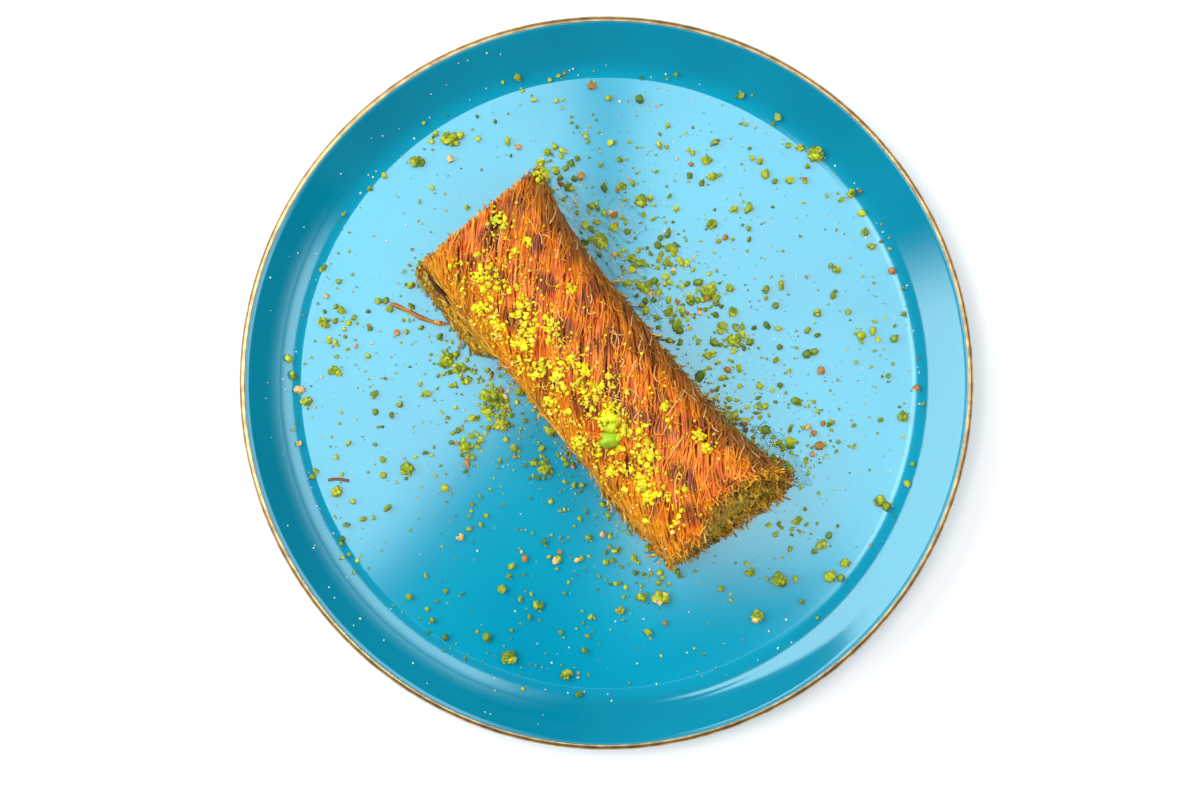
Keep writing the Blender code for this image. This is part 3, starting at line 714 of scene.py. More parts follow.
# The flaps of the lowest layer, each a count of shreds and the shares of the roll that it spans.
for k, (count, begin, end) in enumerate(FLAP_SHREDS):
    first = draw(begin, end - 0.06, count)
    last = np.minimum(first + draw(0.06, 0.16, count), end + 0.01)
    share = first + (last - first) * step
    low = 0.53 - 0.035 * smooth_step(0.06, 0.14, first)
    turn = draw(low, 0.66, count) + random.normal(0.1, 0.22, (count, 1)) * (share - first)
    lift = draw(-0.8, 0.3, count) * MM
    lift = lift + 0.3 * MM * waves(share[..., None] * 9.0 + turn[..., None] * 40.0, 1.0, 5)
    lines, outward = on_roll(share, turn, lift, flap=1.0, floor=0.5 * MM)
    own = draw(0.0, 1.0, count) + 0.0 * step
    colour = mix(mix(STUB_BROWN, STUB_OLIVE, 2.0 * own), STUB_GOLD, 1.6 * own - 0.9)
    radius = 0.5 * draw(0.5, 0.9, count) * MM + 0.0 * step
    add_threads(f"flap_shreds_{k}", lines, outward, radius, colour, 4)

# Broken hairs, 2 to 7 mm long, that lie more or less with the winding and lift at one end.
step = np.linspace(0.0, 1.0, 8)[None]
share = draw(0.0, 1.0, HAIRS) + (draw(2.0, 7.0, HAIRS) * MM / ROLL_LENGTH) * (step - 0.5) * 0.78
start = draw(0.0, 1.0, HAIRS)
slant = random.normal(1.0, 1.0, (HAIRS, 1))
curl = vary(0.9, HAIRS) * MM * (step - 0.5) ** 2 * 4.0
middle = share.mean(1, keepdims=True)
turn = wound(middle, start) + slant * (wound(share, 0.0) - wound(middle, 0.0)) + curl / GIRTH
stand = draw(0.0, 0.9, HAIRS) * MM
lift = 0.25 * MM + stand * np.where(draw(0.0, 1.0, HAIRS) < 0.5, step, 1.0 - step)
lines, outward = on_roll(np.clip(share, -0.012, 1.012), turn, lift, floor=0.4 * MM)
own = draw(-0.3, 1.5, HAIRS) + 0.0 * step
pale = draw(0.0, 1.0, HAIRS) + 0.0 * step
# About one hair in seven is painted pale, as a glint.
colour = mix(baked_colour(lines, own), PALE_GLINT_THREAD, 0.6 * (pale < 0.15))
radius = 0.5 * draw(0.22, 0.44, HAIRS) * MM + 0.0 * step
add_threads("hairs", lines, outward, radius, colour, 3)

# Frizz along the foot of both sides: a count, the shares of the roll and the turns that it spans.
for k, (count, begin, end, low, high) in enumerate(FRIZZ):
    share = draw(begin, end, count) + draw(1.5, 5.0, count) * MM / ROLL_LENGTH * (step - 0.5)
    turn = draw(low, high, count) + vary(0.014, count) * step
    turn = turn + vary(0.008, count) * np.sin(5.0 * step)
    lift = draw(-0.3, 0.3, count) * MM + random.exponential(0.7, (count, 1)) * MM * step**2
    lines, outward = on_roll(np.clip(share, -0.01, 1.01), turn, lift, flap=1.0, floor=0.45 * MM)
    own = draw(0.0, 1.0, count) + 0.0 * step
    # The palest frizz is partly a painted glint.
    colour = mix(mix(STUB_BROWN, STUB_OLIVE, 1.2 * own), PALE_GLINT_THREAD, 3.0 * own - 2.2)
    radius = 0.5 * draw(0.25, 0.7, count) * MM + 0.0 * step
    add_threads(f"frizz_{k}", lines, outward, radius, colour, 3)

# The tuft that sags from the near corner of the near cut.
spread = random.normal(0.0, 1.0, (2, TUFT_SHREDS, 1, 3))
root = np.array([TUFT_PLACE[0] - 5.0, TUFT_PLACE[1] + 1.5, -5.0]) + spread[0] * [1.2, 2.4, 3.0]
tip = np.array([TUFT_PLACE[0] + 1.5, TUFT_PLACE[1] + 0.8, -9.0]) + spread[1] * [1.2, 2.0, 2.6]
sag = random.normal(0.0, 1.0, (TUFT_SHREDS, 1, 3)) * [0.7, 0.9, 0.9]
sag = sag * np.sin(2.2 * math.pi * step)[..., None]
lines = (root + (tip - root) * step[..., None] + sag) * MM
lines[..., 2] = np.maximum(lines[..., 2], 0.5 * MM - ROLL_HALF_HEIGHT)
outward = np.broadcast_to([0.0, 0.0, 1.0], lines.shape)
own = draw(0.0, 1.0, TUFT_SHREDS) + 0.0 * step
radius = 0.5 * draw(0.3, 0.7, TUFT_SHREDS) * MM + 0.0 * step
add_threads("near_corner_tuft", lines, outward, radius, mix(STUB_BROWN, STUB_GOLD, 0.2 + own), 4)

# The stray bundle: shreds side by side along a smoothed route, thinner where it leaves the roll.
route = np.array(STRAY_ROUTE, float)
along = np.linspace(0.0, len(route) - 1.0, STRAY_POINTS)
middle = np.stack([np.interp(along, np.arange(len(route)), route[:, i]) for i in (0, 1)], 1)
padded = np.pad(middle, ((2, 2), (0, 0)), mode="edge")
middle = np.stack([np.convolve(padded[:, i], np.ones(5) / 5.0, mode="valid") for i in (0, 1)], 1)
spread = random.normal(0.0, 0.34, (STRAY_SHREDS, 2))
spread[:, 1] = np.abs(spread[:, 1])
way = np.linspace(0.0, 1.0, STRAY_POINTS)
full = 0.3 + 0.7 * smooth_step(0.42, 0.5, way)
lines = np.stack([np.column_stack([
    middle[:, 0] + a * full + 0.15 * np.sin(way * 20.0 + 9.0 * a),
    middle[:, 1] + 1.2 * a * full + 0.15 * np.sin(way * 26.0 + 7.0 * b),
    0.4 + b * full + 0.1 * np.sin(way * 22.0 + 5.0 * a)]) for a, b in spread])
lines = lines * MM - np.array([0.0, 0.0, ROLL_HALF_HEIGHT])
outward = np.broadcast_to([0.0, 0.0, 1.0], lines.shape)
own = draw(0.0, 1.0, STRAY_SHREDS) + 0.0 * way[None]
by_roll = 1.0 - smooth_step(0.35, 0.5, way)[None] + 0.0 * own
colour = mix(mix(STRAY_BROWN, STRAY_ORANGE, own), STUB_OLIVE, by_roll)
radius = 0.5 * draw(0.4, 0.75, STRAY_SHREDS) * MM * (0.5 + 0.5 * full)[None]
add_threads("stray_shred", lines, outward, radius, colour, 5)


# Crumbs on the roll
#
# Chopped pistachio strewn over the baked roll: bright yellow-green grains, most of them in a drift
# along the near side, and some larger clumps of grains that stick together.

ROLL_CLUMPS = (
    (-48.6, 2.7, 6.2), (-40.7, -10.3, 4.6), (-40.0, 0.4, 2.5), (-39.8, 5.0, 2.3), (14.5, -9.6, 7.0),
    (11.1, -6.4, 4.6), (28.5, -5.8, 3.6), (32.5, 7.5, 3.0), (36.7, 6.9, 2.4), (37.4, -13.6, 3.2),
    (-22.3, 6.0, 2.2), (19.9, 5.4, 2.2), (-9.8, -16.6, 3.4), (12.7, -19.6, 3.8), (-1.2, -17.8, 3.6),
    (-19.8, -14.2, 3.9), (-18.2, -5.1, 3.9), (-34.0, -16.5, 3.2), (-26.9, -15.2, 3.4), (31.9, -12.8, 3.0),
    (24.9, -16.9, 3.2), (4.5, -5.0, 2.8), (-1.3, -5.3, 2.5), (-52.4, 19.3, 4.2),
)
GREEN_CLUMPS = (0, 4, 23)
GREEN_CHUNK = ((17.6, -11.9, 0.9, 6.0, 0.05), (15.4, -9.2, 1.1, 5.0, 0.5), (13.2, -8.0, 0.8, 3.8, 0.9),
               (18.8, -10.2, 0.9, 3.6, 0.15), (16.4, -12.4, 0.9, 3.8, 0.3), (12.2, -9.6, 0.8, 3.0, 1.0),
               (14.2, -6.9, 0.7, 3.0, 0.9))
DRIFT_GRAINS, DRIFT_NUGGETS, SPARSE_GRAINS = 3600, 740, 240
CUT_CRUMBS, FILLING_CRUMBS, FOOT_CRUMBS = 560, 240, (420, 260, 190)
# The grains on the roll are a far brighter yellow than the same nut on the plate: part nut colour, part
# painted light.
BRIGHT, GREENER, PALE = (1.0, 0.82, 0.006), (0.66, 0.62, 0.006), (1.0, 0.72, 0.16)
CLUMP_GREEN, CLUMP_LIME = (0.40, 0.56, 0.008), (0.72, 0.76, 0.010)
CHUNK_GREEN, CHUNK_LIME = (0.30, 0.52, 0.004), (0.78, 0.78, 0.006)
CUT_OLIVE, CUT_GOLD, CUT_SHADE = (0.44, 0.28, 0.008), (1.0, 0.60, 0.02), (0.20, 0.13, 0.008)
CORE_OLIVE, CORE_GOLD, CORE_SHADE = (0.40, 0.22, 0.012), (1.0, 0.55, 0.02), (0.12, 0.06, 0.008)
FOOT_OLIVE, FOOT_YELLOW, FOOT_BROWN = (0.18, 0.16, 0.010), (0.56, 0.46, 0.015), (0.26, 0.10, 0.02)


def ball(rounds):
    """The corners and faces of a unit ball of even triangles, 20 or 80 of them."""
    bm = bmesh.new()
    bmesh.ops.create_icosphere(bm, subdivisions=rounds, radius=1.0)
    bm.verts.index_update()
    corners = np.array([v.co for v in bm.verts])
    faces = np.array([[v.index for v in f.verts] for f in bm.faces])
    bm.free()
    return corners, faces


def turns(count):
    """One random rotation for each grain, as (count, 3, 3)."""
    q = random.normal(size=(count, 4))
    w, x, y, z = (q / np.linalg.norm(q, axis=1, keepdims=True)).T
    return np.stack([
        np.stack([1 - 2 * (y * y + z * z), 2 * (x * y - w * z), 2 * (x * z + w * y)], 1),
        np.stack([2 * (x * y + w * z), 1 - 2 * (x * x + z * z), 2 * (y * z - w * x)], 1),
        np.stack([2 * (x * z - w * y), 2 * (y * z + w * x), 1 - 2 * (x * x + y * y)], 1),
    ], 1)


def grains(name, centres, sizes, colours, chipped=0.38, rounds=1, slim=0.5):
    """One piece of many grains: each a ball with its corners pushed in or out, stretched and turned."""
    corners, faces = ball(rounds)
    count = len(centres)
    shape = corners[None] * random.uniform(1.0 - chipped, 1.0 + chipped, (count, len(corners), 1))
    shape = shape * random.uniform(slim, 1.0, (count, 1, 3))
    shape = np.einsum("nij,nvj->nvi", turns(count), shape)
    points = centres[:, None] + 0.5 * sizes[:, None, None] * shape
    triangles = (faces[None] + len(corners) * np.arange(count)[:, None, None]).reshape(-1, 3)
    piece = add_mesh(name, points.reshape(-1, 3), np.zeros((0, 4)), nut, triangles, smooth=rounds > 1)
    tint = colours[:, None] * random.uniform(0.8, 1.15, (count, len(corners), 1))
    give_colour(piece, tint.reshape(-1, 3))
    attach(piece, "root")


def skin_under(along, across):
    """The roll's skin above a place, in its own frame, and the outward direction there."""
    share = np.clip(along / ROLL_LENGTH + 0.5, 0.0, 1.0)
    width = half_width_at(share)
    side = np.clip((across - bow_at(share)) / width, -0.995, 0.995)
    up = ROLL_HALF_HEIGHT * (1.0 - np.abs(side) ** ROUND_TOP) ** (1.0 / ROUND_TOP)
    out_across = np.sign(side) * np.abs(side) ** (ROUND_TOP - 1.0) / width
    out_up = (up / ROLL_HALF_HEIGHT) ** (ROUND_TOP - 1.0) / ROLL_HALF_HEIGHT
    size = np.hypot(out_across, out_up)
    place = np.stack([along, across, up], -1)
    return place, np.stack([0.0 * along, out_across / size, out_up / size], -1)


def grain_colours(count, low, high, odd, odd_share):
    """A mix of two colours for each grain, and now and then a grain of the odd one."""
    colour = mix(low, high, random.uniform(0.0, 1.0, count))
    return np.where(random.uniform(0, 1, (count, 1)) < odd_share, np.asarray(odd), colour)


def drift(count, spread):
    """Places in the drift, in the roll's own frame: patchy, thickest along the near side."""
    along = random.uniform(-49.0, 50.0, count) * MM
    across = random.normal(-11.8, spread, count) * MM
    patchy = waves(np.stack([along, across], 1), 9 * MM, 21)
    thin_out = smooth_step(24 * MM, 52 * MM, np.abs(along + 4 * MM))
    kept = (random.uniform(-1.0, 0.6, count) < patchy) & (across > -20.9 * MM)
    kept &= random.uniform(0, 1, count) < 1.15 - thin_out
    return along[kept], across[kept]


def on_skin(along, across, size, loose):
    """Centres of grains on the roll's skin, each sunk a little or up to loose mm off it."""
    place, outward = skin_under(along, across)
    return to_plate(place + outward * (0.3 * size + random.uniform(0.1, loose, len(size)) * MM)[:, None])


nut, shader = shaded_material("chopped pistachio", roughness=0.55, coat=0.15, coat_roughness=0.3)

# The drift: fine grains, with some strewn sparsely over the top, and then nuggets.
along, across = drift(DRIFT_GRAINS, 5.8)
sparse_along = random.uniform(-46.0, 50.0, SPARSE_GRAINS) * MM
sparse_across = random.uniform(-6.0, 11.0, SPARSE_GRAINS) * MM
along, across = np.concatenate([along, sparse_along]), np.concatenate([across, sparse_across])
size = (0.4 + 0.8 * random.uniform(0.0, 1.0, len(along)) ** 2) * MM
centres = on_skin(along, across, size, 0.6)
grains("drift_on_roll", centres, size, grain_colours(len(size), BRIGHT, GREENER, PALE, 0.12), 0.45)

along, across = drift(DRIFT_NUGGETS, 5.0)
size = (1.1 + 1.5 * random.uniform(0.0, 1.0, len(along)) ** 2) * MM
centres = on_skin(along, across, size, 0.5)
grains("nuggets_on_roll", centres, size, grain_colours(len(size), BRIGHT, GREENER, PALE, 0.06))

# Clumps: along and across the roll and size, in mm. Grains heap up towards each clump's middle.
places, sizes, colours = [], [], []
for k, (along, across, size) in enumerate(ROLL_CLUMPS):
    count = int(8 + 5.5 * size)
    spread = random.normal(0.0, 0.27 * size, (count, 2)) * MM
    place, outward = skin_under(along * MM + spread[:, 0], across * MM + spread[:, 1])
    heap = np.exp(-(spread**2).sum(1) / (0.35 * size * MM) ** 2) * 0.28 * size * MM
    own = random.uniform(0.8, 1.7, count) * MM
    places.append(place + outward * (0.35 * own + heap * random.uniform(0.2, 1.0, count))[:, None])
    sizes.append(own)
    low, high = (CLUMP_GREEN, CLUMP_LIME) if k in GREEN_CLUMPS else (BRIGHT, GREENER)
    colours.append(grain_colours(count, low, high, BRIGHT, 0.25))
places, sizes, colours = np.concatenate(places), np.concatenate(sizes), np.concatenate(colours)
grains("clumps_on_roll", to_plate(places), sizes, colours, slim=0.55)

# The green chunk: along and across the roll, height over the skin and size in mm, and how lime.
along, across, height, size, lime = np.array(GREEN_CHUNK).T
place, outward = skin_under(along * MM, across * MM)
centres = to_plate(place + outward * (height * MM)[:, None])
grains("green_chunk", centres, size * MM, mix(CHUNK_GREEN, CHUNK_LIME, lime), rounds=2)

# Crumbs between the stubs of both cuts, on the filling's near face, and along the roll's foot.
turn = random.uniform(0.0, 1.0, CUT_CRUMBS)
depth = np.sqrt(random.uniform(0.0, 1.0, CUT_CRUMBS))
at_tail = random.uniform(0, 1, CUT_CRUMBS) < 0.72
depth = (depth - 1.0) * 0.9 + random.uniform(0.0, 0.35, CUT_CRUMBS)
place, _ = inside_roll(np.where(at_tail, 1.0, 0.0), turn, depth)
place[:, 0] += np.where(at_tail, 1.0, -1.0) * random.uniform(-0.4, 0.9, CUT_CRUMBS) * MM
size = random.uniform(0.8, 2.4, CUT_CRUMBS) * MM
place[:, 2] = np.maximum(place[:, 2], 0.6 * size - ROLL_HALF_HEIGHT)
colour = grain_colours(CUT_CRUMBS, CUT_OLIVE, CUT_GOLD, CUT_SHADE, 0.22)
grains("crumbs_at_cuts", to_plate(place), size, colour)

angle = random.uniform(0.0, 2.0 * math.pi, FILLING_CRUMBS)
out = np.sqrt(random.uniform(0.0, 1.1, FILLING_CRUMBS))
across = FILLING_HALF_WIDTH * out * np.cos(angle)
up = FILLING_HALF_HEIGHT * out * np.sin(angle)
along = along_roll(1.0, across, up) + random.uniform(0.3, 1.1, FILLING_CRUMBS) * MM
place = np.stack([along, across + bow_at(1.0), up], -1)
size = random.uniform(0.7, 2.0, FILLING_CRUMBS) * MM
colour = grain_colours(FILLING_CRUMBS, CORE_OLIVE, CORE_GOLD, CORE_SHADE, 0.26)
grains("crumbs_on_filling", to_plate(place), size, colour)

near_head, both_sides, far_tail = FOOT_CRUMBS
count = sum(FOOT_CRUMBS)
share = np.concatenate([random.uniform(-0.02, 0.30, near_head), random.uniform(0.55, 1.03, both_sides),
                        random.uniform(0.70, 0.97, far_tail)])
far = np.concatenate([np.zeros(near_head), random.uniform(0, 1, both_sides) < 0.62, np.ones(far_tail)])
turn = np.where(far > 0.5, random.uniform(0.93, 1.01, count), random.uniform(0.53, 0.62, count))
place, outward = on_roll(np.clip(share, 0.0, 1.0), turn, 0.0, flap=1.0, floor=0.4 * MM)
size = random.uniform(0.7, 2.0, count) * MM
off = random.uniform(-0.1, 0.5, count) + np.where(share * far > 0.7, random.exponential(0.8, count), 0.0)
place = place + outward * (off * MM)[:, None]
place[:, 2] = np.maximum(place[:, 2] + random.uniform(-2.0, 0.5, count) * MM, 0.4 * size - ROLL_HALF_HEIGHT)
colour = grain_colours(count, FOOT_OLIVE, FOOT_YELLOW, FOOT_BROWN, 0.34)
grains("crumbs_along_foot", to_plate(place), size, colour)


# Crumbs on the plate
#
# Chopped pistachio that fell beside the roll: olive-green grains and lumps, a few with brown skin
# or of pale nut, denser near the roll, and fine dust between them.

PLATE_LUMPS = (
    (-45.5, 70.8, 5.8), (-54.8, 64.4, 4.7), (60.7, 66.4, 5.8), (56.3, 68.4, 2.9), (52.8, 69.0, 2.3),
    (10.1, 53.0, 4.7), (-1.6, 40.8, 4.7), (4.5, 57.4, 3.5), (30.7, 46.0, 4.1), (37.1, 50.4, 3.2),
    (31.0, 60.0, 3.5), (29.0, 64.9, 3.5), (44.7, 64.4, 2.9), (71.2, 55.1, 3.5), (75.2, 44.0, 3.2),
    (77.0, 39.6, 2.9), (66.8, 32.9, 3.5), (36.0, 27.7, 3.5), (61.3, 20.4, 3.2), (-82.2, 17.5, 4.4),
    (-79.2, 3.6, 4.0), (-87.2, -5.2, 4.0), (-78.4, -31.6, 4.1), (-58.0, -24.7, 5.2), (-42.6, -44.7, 2.9),
    (-28.0, -79.8, 5.2), (-11.5, -84.6, 4.1), (15.9, -62.2, 5.8), (10.1, -62.2, 3.8), (4.0, -66.0, 3.2),
    (43.8, -67.7, 4.7), (50.2, -57.2, 5.8), (41.8, -55.2, 3.5), (65.0, -56.2, 4.7), (69.4, -52.3, 3.5),
    (79.6, -34.3, 4.7), (62.7, -47.1, 4.1), (86.0, -9.8, 4.1), (-33.9, -3.4, 5.8), (-30.9, -12.1, 4.7),
    (29.6, 26.5, 5.2), (37.4, 12.6, 4.7), (7.4, 36.4, 3.5), (24.3, 24.2, 4.1), (9.8, 28.1, 4.1),
    (-46.4, 6.2, 4.6), (-40.8, -18.3, 4.4), (-17.9, -25.2, 3.8), (-89.0, -1.8, 3.8), (-89.4, -17.6, 2.4),
)
BEIGE_LUMPS = (24, 48, 49)
HEAPS = ((-31.5, -6.5, 4.6, 90), (-42.0, 3.0, 3.5, 34), (30.0, 25.5, 3.4, 26), (37.5, 12.5, 3.6, 28),
         (-47.0, 5.0, 4.0, 22), (20.0, 21.0, 4.0, 26), (-40.0, -16.0, 5.0, 30), (-19.0, -24.0, 4.0, 24),
         (-8.0, 38.0, 3.0, 14), (-18.6, 60.6, 1.6, 14), (-77.0, 15.0, 6.0, 18), (54.0, -42.0, 5.0, 18),
         (18.0, 34.0, 5.0, 22))
STRAY_KNOT = ((-39.2, -29.2, 2.2), (-38.2, -28.2, 1.7), (-40.0, -29.8, 1.5))
KNOT_COLOURS = ((0.80, 0.27, 0.02), (0.55, 0.22, 0.02), (0.90, 0.50, 0.10))
# The grains on the plate are a darker olive than the same nut on the roll: part nut colour, part painted
# shade.
OLIVE, YELLOW_GREEN, DEEP_GREEN = (0.17, 0.26, 0.008), (0.54, 0.60, 0.010), (0.13, 0.21, 0.007)
BEIGE, PINK_SKIN, BROWN_SKIN = (0.84, 0.56, 0.20), (0.70, 0.30, 0.14), (0.46, 0.20, 0.03)
WHITE_GLINT, CHIP_BROWN = (0.92, 1.0, 0.86), (0.20, 0.08, 0.03)
CHIP_PLACE, CHIP_LENGTH, CHIP_RADIUS = (-80.4, -28.0, 7.0), 6.0, 0.42 * MM
NEAR_GRAINS, FAR_GRAINS, DUST, WALL_SPECKS = 740, 560, 1500, 46
PLATE_SHRINK = 0.9935


def plate_height(radius):
    """Height of the plate's upper face at this distance from its middle: floor, fillet, then wall."""
    bend = np.clip((radius - FLOOR_RADIUS) / FLOOR_FILLET, 0.0, math.sin(WALL_LEAN))
    rise = FLOOR_FILLET * (1.0 - np.sqrt(1.0 - bend**2))
    return FLOOR_TOP + rise + np.maximum(radius - fillet[-1, 0], 0.0) * math.tan(WALL_LEAN)


def clear_of_roll(x, y, gap):
    """Which places on the plate lie outside the roll's outline by at least the gap."""
    dx, dy = x - ROLL_PLACE[0], y - ROLL_PLACE[1]
    along = dx * math.cos(ROLL_TURN) + dy * math.sin(ROLL_TURN)
    across = dy * math.cos(ROLL_TURN) - dx * math.sin(ROLL_TURN)
    share = np.clip(along / ROLL_LENGTH + 0.5, 0.0, 1.0)
    side = across - bow_at(share)
    past_head = along < -0.5 * ROLL_LENGTH - HEAD_SLANT - gap
    past_tail = along > 0.5 * ROLL_LENGTH + TAIL_SLANT + 1.5 * MM + gap
    far_side = side > half_width_at(share) + gap
    near_side = side < -half_width_at(share) - flap_at(share) - gap
    return past_head | past_tail | far_side | near_side


def on_plate(x, y, size):
    """Centres of grains that lie on the plate there, some of them sunk a little in syrup."""
    return np.stack([x, y, plate_height(np.hypot(x, y)) + 0.33 * size], 1)


def plate_colours(count):
    """Olive and yellow-green, now and then deep green, beige, pink or brown."""
    colour = grain_colours(count, OLIVE, YELLOW_GREEN, DEEP_GREEN, 0.16)
    for odd, share in ((BEIGE, 0.035), (PINK_SKIN, 0.010), (BROWN_SKIN, 0.045)):
        colour = np.where(random.uniform(0, 1, (count, 1)) < share, np.asarray(odd), colour)
    return colour


def strewn(near, far, gap):
    """Places strewn on the plate, in metres: some close to the roll's sides, the rest anywhere."""
    along = random.uniform(-58, 62, near)
    side = np.where(random.uniform(0, 1, near) < 0.56, 1.0, -1.0)
    across = side * (19.0 + random.exponential(13.0, near))
    cosine, sine = math.cos(ROLL_TURN), math.sin(ROLL_TURN)
    x = along * cosine - across * sine - 0.8
    y = along * sine + across * cosine + 5.4
    radius = 92.0 * np.sqrt(random.uniform(0, 1, far))
    angle = random.uniform(0, 2 * math.pi, far)
    x = np.concatenate([x, radius * np.cos(angle)]) * MM
    y = np.concatenate([y, radius * np.sin(angle)]) * MM
    kept = clear_of_roll(x, y, gap) & (np.hypot(x, y) < 95 * MM)
    return x[kept], y[kept]


# A short broken shred at the left of the plate.
step = np.linspace(0.0, 1.0, 12)[None]
line = np.stack([CHIP_PLACE[0] + CHIP_LENGTH * step, CHIP_PLACE[1] + 0.3 * np.sin(4.0 * step),
                 0.0 * step + CHIP_PLACE[2]], -1) * MM
upward = np.broadcast_to([0.0, 0.0, 1.0], line.shape)
points, quads, caps = tubes(line, upward, CHIP_RADIUS + 0.0 * step, 6)
chip = add_mesh("shred_on_plate", points, quads, shred_finish, caps)
give_colour(chip, np.full((len(points), 3), 1.0) * np.array(CHIP_BROWN))
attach(chip, "root")

# Grains, and then dust with a few whitish specks, also on the wall at the left. The whitish specks
# are painted glints.
x, y = strewn(NEAR_GRAINS, FAR_GRAINS, 0.3 * MM)
size = (0.95 + 2.5 * random.uniform(0.0, 1.0, len(x)) ** 2) * MM
grains("grains_on_plate", on_plate(x, y, size), size, plate_colours(len(x)), 0.34)

x, y = strewn(DUST // 2, DUST // 2, 0.2 * MM)
radius = random.uniform(90, 102, WALL_SPECKS) * MM
angle = np.radians(random.uniform(100, 260, WALL_SPECKS))
x, y = np.concatenate([x, radius * np.cos(angle)]), np.concatenate([y, radius * np.sin(angle)])
size = random.uniform(0.3, 0.8, len(x)) * MM
# Painted glints: a tenth of the dust, and every speck on the wall, is whitish.
white = (random.uniform(0, 1, len(x)) < 0.10) | (np.hypot(x, y) > 89.5 * MM)
colour = np.where(white[:, None], np.array(WHITE_GLINT), plate_colours(len(x)))
grains("dust_on_plate", on_plate(x, y, size), size, colour, 0.25, slim=0.65)

# Lumps: place on the plate and size, in mm. Each is a knot of grains set at random in a low dome.
places, sizes, colours = [], [], []
for k, (x, y, size) in enumerate(PLATE_LUMPS):
    count = int(6 + 4.5 * size)
    spread = random.normal(size=(count, 3))
    spread *= (random.uniform(0, 1, (count, 1)) ** 0.5 / np.linalg.norm(spread, axis=1, keepdims=True))
    own = random.uniform(0.32, 0.52, count) * size * MM
    reach = 0.5 * size * MM - 0.35 * own
    spot = np.array([x, y]) * MM * PLATE_SHRINK + spread[:, :2] * reach[:, None] * np.array([1.0, 0.82])
    height = plate_height(np.hypot(spot[:, 0], spot[:, 1])) + 0.36 * own
    places.append(np.column_stack([spot, height + 0.30 * size * MM * np.abs(spread[:, 2])]))
    sizes.append(own)
    kind = (BEIGE, BEIGE) if k in BEIGE_LUMPS else (OLIVE, YELLOW_GREEN)
    colours.append(grain_colours(count, *kind, DEEP_GREEN if k % 3 else BEIGE, 0.12))

# Three caramel crumbs on the stray bundle: along and across the roll and size, in mm.
along, across, size = np.array(STRAY_KNOT).T * MM
places.append(to_plate(np.column_stack([along, across, np.full(3, 0.9 * MM - ROLL_HALF_HEIGHT)])))
sizes.append(size)
colours.append(np.array(KNOT_COLOURS))

# Heaps of single grains: place on the plate and reach, in mm, and how many.
for x, y, reach, count in HEAPS:
    spot = np.array([x, y]) * MM * PLATE_SHRINK + random.normal(0.0, 0.6 * reach * MM, (count, 2))
    spot = spot[clear_of_roll(spot[:, 0], spot[:, 1], 0.2 * MM)]
    own = random.uniform(0.95, 2.3, len(spot)) * MM
    places.append(on_plate(spot[:, 0], spot[:, 1], own))
    sizes.append(own)
    colours.append(plate_colours(len(spot)))
places, sizes, colours = np.concatenate(places), np.concatenate(sizes), np.concatenate(colours)
grains("lumps_on_plate", places, sizes, colours, 0.34, slim=0.6)


# Syrup
#
# Thin clear smears of sugar syrup that ran out of the roll and dried in ripples on the glaze beside
# both its sides and by its near cut.

FILMS = (((-32, 34), (-25.5, -17.0), 1.1), ((-46, 2), (18.0, 26.0), 1.3), ((42, 62), (20.0, 27.0), 0.9),
         ((-36, -20), (27.0, 36.0), 1.8))
FILM_STEP, FILM_RELIEF, FILM_DEPTH, FILM_EDGE = 0.38, 0.055 * MM, 0.12 * MM, 0.03 * MM
SYRUP_TINT, SYRUP_ALPHA = (0.12, 0.56, 0.78), 0.11


def smear(name, along, across, ripple, seed, finish):
    """One film in the roll's frame, with its flat back on the glaze.

    Rings grow from the middle to an uneven, squared oval. The height is a depth plus waves, and
    falls to FILM_EDGE over the outer third."""
    middle = np.array([sum(along), sum(across)]) / 2.0
    half = np.array([along[1] - along[0], across[1] - across[0]]) / 2.0
    rings = max(6, int(half[1] / FILM_STEP))
    columns = int(2.0 * half.sum() / FILM_STEP)
    angle = np.arange(columns)[None] / columns * 2.0 * math.pi
    uneven = 1.0 + 0.22 * waves(np.stack([np.cos(angle) * half[0], np.sin(angle) * half[0]], -1), 9.0, seed)
    reach = np.linspace(0.02, 1.0, rings)[:, None]
    x = middle[0] + half[0] * reach * uneven * np.sign(np.cos(angle)) * np.abs(np.cos(angle)) ** 0.7
    y = middle[1] + half[1] * reach * uneven * np.sign(np.sin(angle)) * np.abs(np.sin(angle)) ** 0.7
    edge = np.clip((1.0 - reach) * 3.0, 0.0, 1.0)
    relief = waves(np.stack([x, y], -1), ripple, seed + 1)
    height = (FILM_DEPTH + FILM_RELIEF * relief) * edge + FILM_EDGE
    top = np.stack([x * MM, y * MM, height - ROLL_HALF_HEIGHT], -1)
    back = top[::-1].copy()
    back[..., 2] = 0.01 * MM - ROLL_HALF_HEIGHT
    rows = to_plate(np.concatenate([top, back]))
    rows[..., 2] -= 0.3 * MM
    points, quads, triangles = closed_rings(rows)
    piece = add_mesh(name, points, quads[:, ::-1], finish, triangles[:, ::-1])
    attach(piece, "root")


syrup, nodes, links, shader = new_material("syrup", roughness=0.12, colour=SYRUP_TINT)
shader.inputs["Alpha"].default_value = SYRUP_ALPHA
shader.inputs["Specular IOR Level"].default_value = 0.8
for k, (along, across, ripple) in enumerate(FILMS):
    smear(f"syrup_{k}", along, across, ripple, 60 + 5 * k, syrup)


# Floor of the picture, light and camera
#
# A white light table under the plate, five large soft lights and a camera straight above.

TABLE_REACH, TABLE_GLOW = 8, 0.17
CAMERA_PLACE = (-1.86 * MM, -4.87 * MM, 900 * MM)
CAMERA_LENS = 92.77
CARD_HEIGHT, CARD_RADIUS, CARD_STRENGTH, CARD_STEPS = 1.0, 0.205, 6.6, 48
PANEL_COLUMNS = 13
ROOM_LIGHT = 0.15


